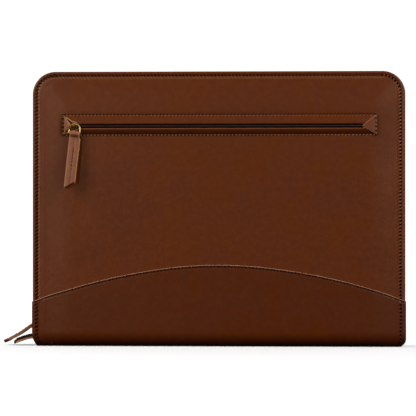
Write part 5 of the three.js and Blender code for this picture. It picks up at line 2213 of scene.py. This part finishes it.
    def dress(self, seam: Seam, runs: Sequence[tuple[float, float]]) -> None:
        """Builds, dresses and seats the slider, the ring, the strap and its stitches.

        Args:
            seam: The strap's seam.
            runs: Starts and ends of the stitched runs along the strap.
        """
        slider = softened_copy(f"{self.prefix}_slider", f"{self.prefix}_slider_brass", 0.3)
        slider.data.transform(Matrix.Translation((self.sizes.slider_shift * MM, 0, 0)))
        seat(slider, self.finishes.brass, "brass", f"{self.prefix}_slider")
        seat(self.ring(), self.finishes.ring, "brass", f"{self.prefix}_pull_ring")
        seat(self.strap(), self.finishes.strap, "strap_leather", f"{self.prefix}_pull_strap")
        seam.sew(f"{self.prefix}_strap_stitches", [self.stitch_path(*r) for r in runs], "strap_leather")


def pocket_pull(finishes: Finishes) -> Pull:
    """The pull of the pocket's zip, which hangs on the front.

    Args:
        finishes: The finishes.

    Returns:
        The pull.
    """
    f = FORM
    x = f.seam_left + 7.1
    face = float(f.face(np.array(x), np.array(f.slot_z), False))
    place = Matrix.Translation((x, -(face - f.panel_leather - f.clearance), f.slot_z))
    place = place @ Matrix.Rotation(math.pi / 2, 4, "X")
    length = 51.6
    swing = 4.2
    route = [(-s * swing, -a * length) for a, s in ((0, 0), (0.25, 0.22), (0.6, 0.68), (1, 1))]
    sizes = PullForm(ring_height=9.3, strap_width=10.3, neck_offset=1.0, slider_shift=0.7, ring_shift=1.05,
                     slant=7.0)
    return Pull("pocket", finishes, place, Matrix.Rotation(math.radians(3), 4, "Y"), (-4.4, 0, 6.9), 2.1,
                math.radians(3.3), route, sizes, under_reach=1.3)


def main_pull(finishes: Finishes) -> Pull:
    """The pull of the main zip, which bends out over the tail.

    Args:
        finishes: The finishes.

    Returns:
        The pull.
    """
    f = FORM
    sizes = PullForm(layer_gap=0.04, leather=1.55)
    tape_face = f.wall_inset + f.edging_leather + f.clearance
    place = Matrix.Translation((-f.half + tape_face, 0, 40.0)) @ Matrix.Rotation(-math.pi / 2, 4, "Y")
    hold = (0.0, 0.0, sizes.ring_height)
    seat_point = place @ Vector((sizes.hold_x, 0, sizes.bridge_floor + 1.6))
    bar = -(Matrix.Rotation(-sizes.ring_tilt, 4, "X") @ Vector(hold))
    start_out = -f.half - seat_point.x - bar.y
    start_height = seat_point.z + bar.z
    exit_height = 9.7 + 11.0
    points = [(start_out * (1 - o), start_height + (exit_height - start_height) * d)
              for o, d in ((0, 0), (0.03, 0.33), (0.26, 0.66), (1, 1))]
    points += [(r * 29.7, exit_height - d * 17.7) for r, d in
               ((0.22, 0.27), (0.365, 0.445), (0.51, 0.595), (0.65, 0.715), (0.86, 0.9), (1, 1))]
    route = [(start_out - out, height - start_height) for out, height in points]
    return Pull("main", finishes, place, Matrix.Rotation(-math.pi / 2, 4, "Z"), hold, 1.6, 0.0, route, sizes,
                raw_edge=0.3, swell=0.0, under_shade=0.9)


# Studio


@dataclass(frozen=True)
class Studio:
    """Floor, soft lights and the camera, which looks level at the middle of the case."""

    distance: float = 1500.0
    yaw: float = 2.0
    frame_width: float = 390.0
    aim: tuple[float, float, float] = (-9.6, -14.0, 130.15)

    # Name, place and size in metres, and watts of each light
    SOFTBOXES = (
        ("left_softbox", (-2.2, -1.5, 1.5), (1.3, 1.3), 68.0),
        ("right_softbox", (2.3, -1.5, 1.4), (1.2, 1.3), 54.0),
        ("top_softbox", (0.0, 0.3, 2.2), (2.6, 1.3), 12.0),
        ("left_sheen", (-0.72, -1.9, 0.4), (0.14, 0.8), 4.4),
        ("right_sheen", (0.8, -1.9, 0.5), (0.12, 0.8), 3.6),
    )

    def camera(self) -> None:
        """Adds the camera at the photograph's angle."""
        data = bpy.data.cameras.new("camera")
        data.sensor_width = 36.0
        data.lens = 36.0 * self.distance / self.frame_width
        data.clip_end = 50.0
        camera = bpy.data.objects.new("camera", data)
        turn = math.radians(self.yaw)
        aim = Vector(self.aim) * MM
        camera.location = aim + Vector((math.sin(turn), -math.cos(turn), 0)) * self.distance * MM
        camera.rotation_euler = (math.radians(90), 0, turn)
        bpy.context.scene.collection.objects.link(camera)
        bpy.context.scene.camera = camera

    def softbox(self, name: str, place: tuple[float, float, float], size: tuple[float, float],
                watts: float) -> None:
        """Adds a rectangular white light that points at the middle of the case.

        Args:
            name: The light's name.
            place: Where it stands, in metres.
            size: Its width and height in metres.
            watts: Its strength.
        """
        data = bpy.data.lights.new(name, "AREA")
        data.shape = "RECTANGLE"
        data.size, data.size_y = size
        data.energy = watts
        light = bpy.data.objects.new(name, data)
        light.location = place
        target = Vector((0, 0, 0.12))
        light.rotation_euler = (target - light.location).to_track_quat("-Z", "Y").to_euler()
        bpy.context.scene.collection.objects.link(light)

    def floor(self) -> None:
        """Adds the pale floor, which glows less in front of the case than behind it."""
        material, tree, place = blank_material("white_paper")
        depth = add_node(tree, "ShaderNodeSeparateXYZ", inputs={0: place}).outputs["Y"]
        glow = add_node(tree, "ShaderNodeMapRange", inputs={
            "Value": depth, "From Min": -0.01, "From Max": 0.025, "To Min": 0.2, "To Max": 0.6})
        shader = add_node(tree, "ShaderNodeBsdfPrincipled", inputs={
            "Base Color": (0.93, 0.93, 0.93, 1), "Roughness": 1.0, "Specular IOR Level": 0.0,
            "Emission Color": (1, 1, 1, 1), "Emission Strength": glow.outputs[0]})
        add_node(tree, "ShaderNodeOutputMaterial", inputs={"Surface": shader.outputs[0]})
        mesh = bpy.data.meshes.new("floor")
        near, far, side = 3.0, 0.9, 2.5
        corners = [(-side, -near, 0), (side, -near, 0), (side, far, 0), (-side, far, 0)]
        mesh.from_pydata(corners, [], [(0, 1, 2, 3)])
        mesh.materials.append(material)
        floor = bpy.data.objects.new("floor", mesh)
        bpy.context.scene.collection.objects.link(floor)
        floor.visible_diffuse = False
        floor.visible_glossy = False

    def world(self) -> None:
        """Adds the white surroundings, softer as light than they look."""
        world = bpy.data.worlds.new("white")
        world.use_nodes = True
        tree = world.node_tree
        tree.nodes.clear()
        seen = add_node(tree, "ShaderNodeLightPath").outputs["Is Camera Ray"]
        strength = add_node(tree, "ShaderNodeMapRange", inputs={"Value": seen, "To Min": 0.02, "To Max": 1.1})
        light = add_node(tree, "ShaderNodeBackground", inputs={
            "Color": (1, 1, 1, 1), "Strength": strength.outputs[0]})
        add_node(tree, "ShaderNodeOutputWorld", inputs={"Surface": light.outputs[0]})
        bpy.context.scene.world = world

    def build(self) -> None:
        """Builds the whole studio."""
        self.camera()
        self.floor()
        self.world()
        for name, place, size, watts in self.SOFTBOXES:
            self.softbox(name, place, size, watts)
        bpy.context.scene.view_settings.view_transform = "Standard"


def main() -> None:
    """Builds the case piece by piece and reports each one."""
    Studio().build()
    finishes = Finishes()
    stitches = PathTree("stitches")
    panels = [Panel(side, finishes) for side in Side]
    for panel in panels:
        panel.dress()
    border = Seam(stitches, finishes.thread, finishes.slit, slit_radius=0.56, slit_half=1.8,
                  slit_slant=math.radians(-58), lift=0.3)
    short = Seam(stitches, finishes.thread, finishes.slit, slit_radius=0.52, slit_half=0.7,
                 slit_slant=math.radians(-58), lift=0.15)
    holes = Seam(stitches, finishes.tan_thread, finishes.slit, thread_radius=0.42, slit_radius=0.84,
                 slit_half=0.84, slit_slant=math.radians(-58), lift=0.24, gap=1.1)
    low_holes = replace(holes, thread=finishes.thread)
    left, top, right = zip(*(p.border_paths() for p in panels))
    border.sew("border_left_stitches", left, "panel_leather")
    short.sew("border_top_stitches", top, "panel_leather")
    holes.sew("border_right_stitches", right, "panel_leather")
    edge = Seam(stitches, finishes.thread, finishes.slit, thread_radius=0.26, slit_radius=0.45, slit_half=0.8,
                slit_slant=math.radians(15))
    fine = Seam(stitches, finishes.thread, finishes.slit, thread_radius=0.3, slit_radius=0.42,
                slit_half=0.3)
    # Pale threads, lowered 1.3 mm below the slits so that they also paint the highlights on the lip's small
    # bumps below the stitches.
    above = Seam(stitches, finishes.tan_thread, finishes.slit, thread_radius=0.4, slit_radius=0.5,
                 slit_half=0.3, lift=0.3, drop=1.3, gap=0.8)
    pale = Seam(stitches, finishes.tan_thread, finishes.slit, thread_radius=0.5, slit_radius=0.55,
                slit_half=0.3, lift=0.35, thread_slant=math.radians(20), gap=0.85)
    upright = Seam(stitches, finishes.tan_thread, finishes.slit, thread_radius=0.33, slit_radius=0.62,
                   slit_half=0.6, lift=0.2, gap=0.7)
    SpineWrap(finishes).dress(border, low_holes, edge)
    Edging(finishes).dress(fine)
    coils = PathTree("coils")
    MainZip(finishes).dress(coils)
    PocketZip(finishes).dress(above, pale, upright, coils)
    pocket_pull(finishes).dress(fine, ((13.5, 33.4), (40.5, 42.5)))
    main_pull(finishes).dress(fine, ((14.0, 30.6),))


if __name__ == "__main__":
    main()
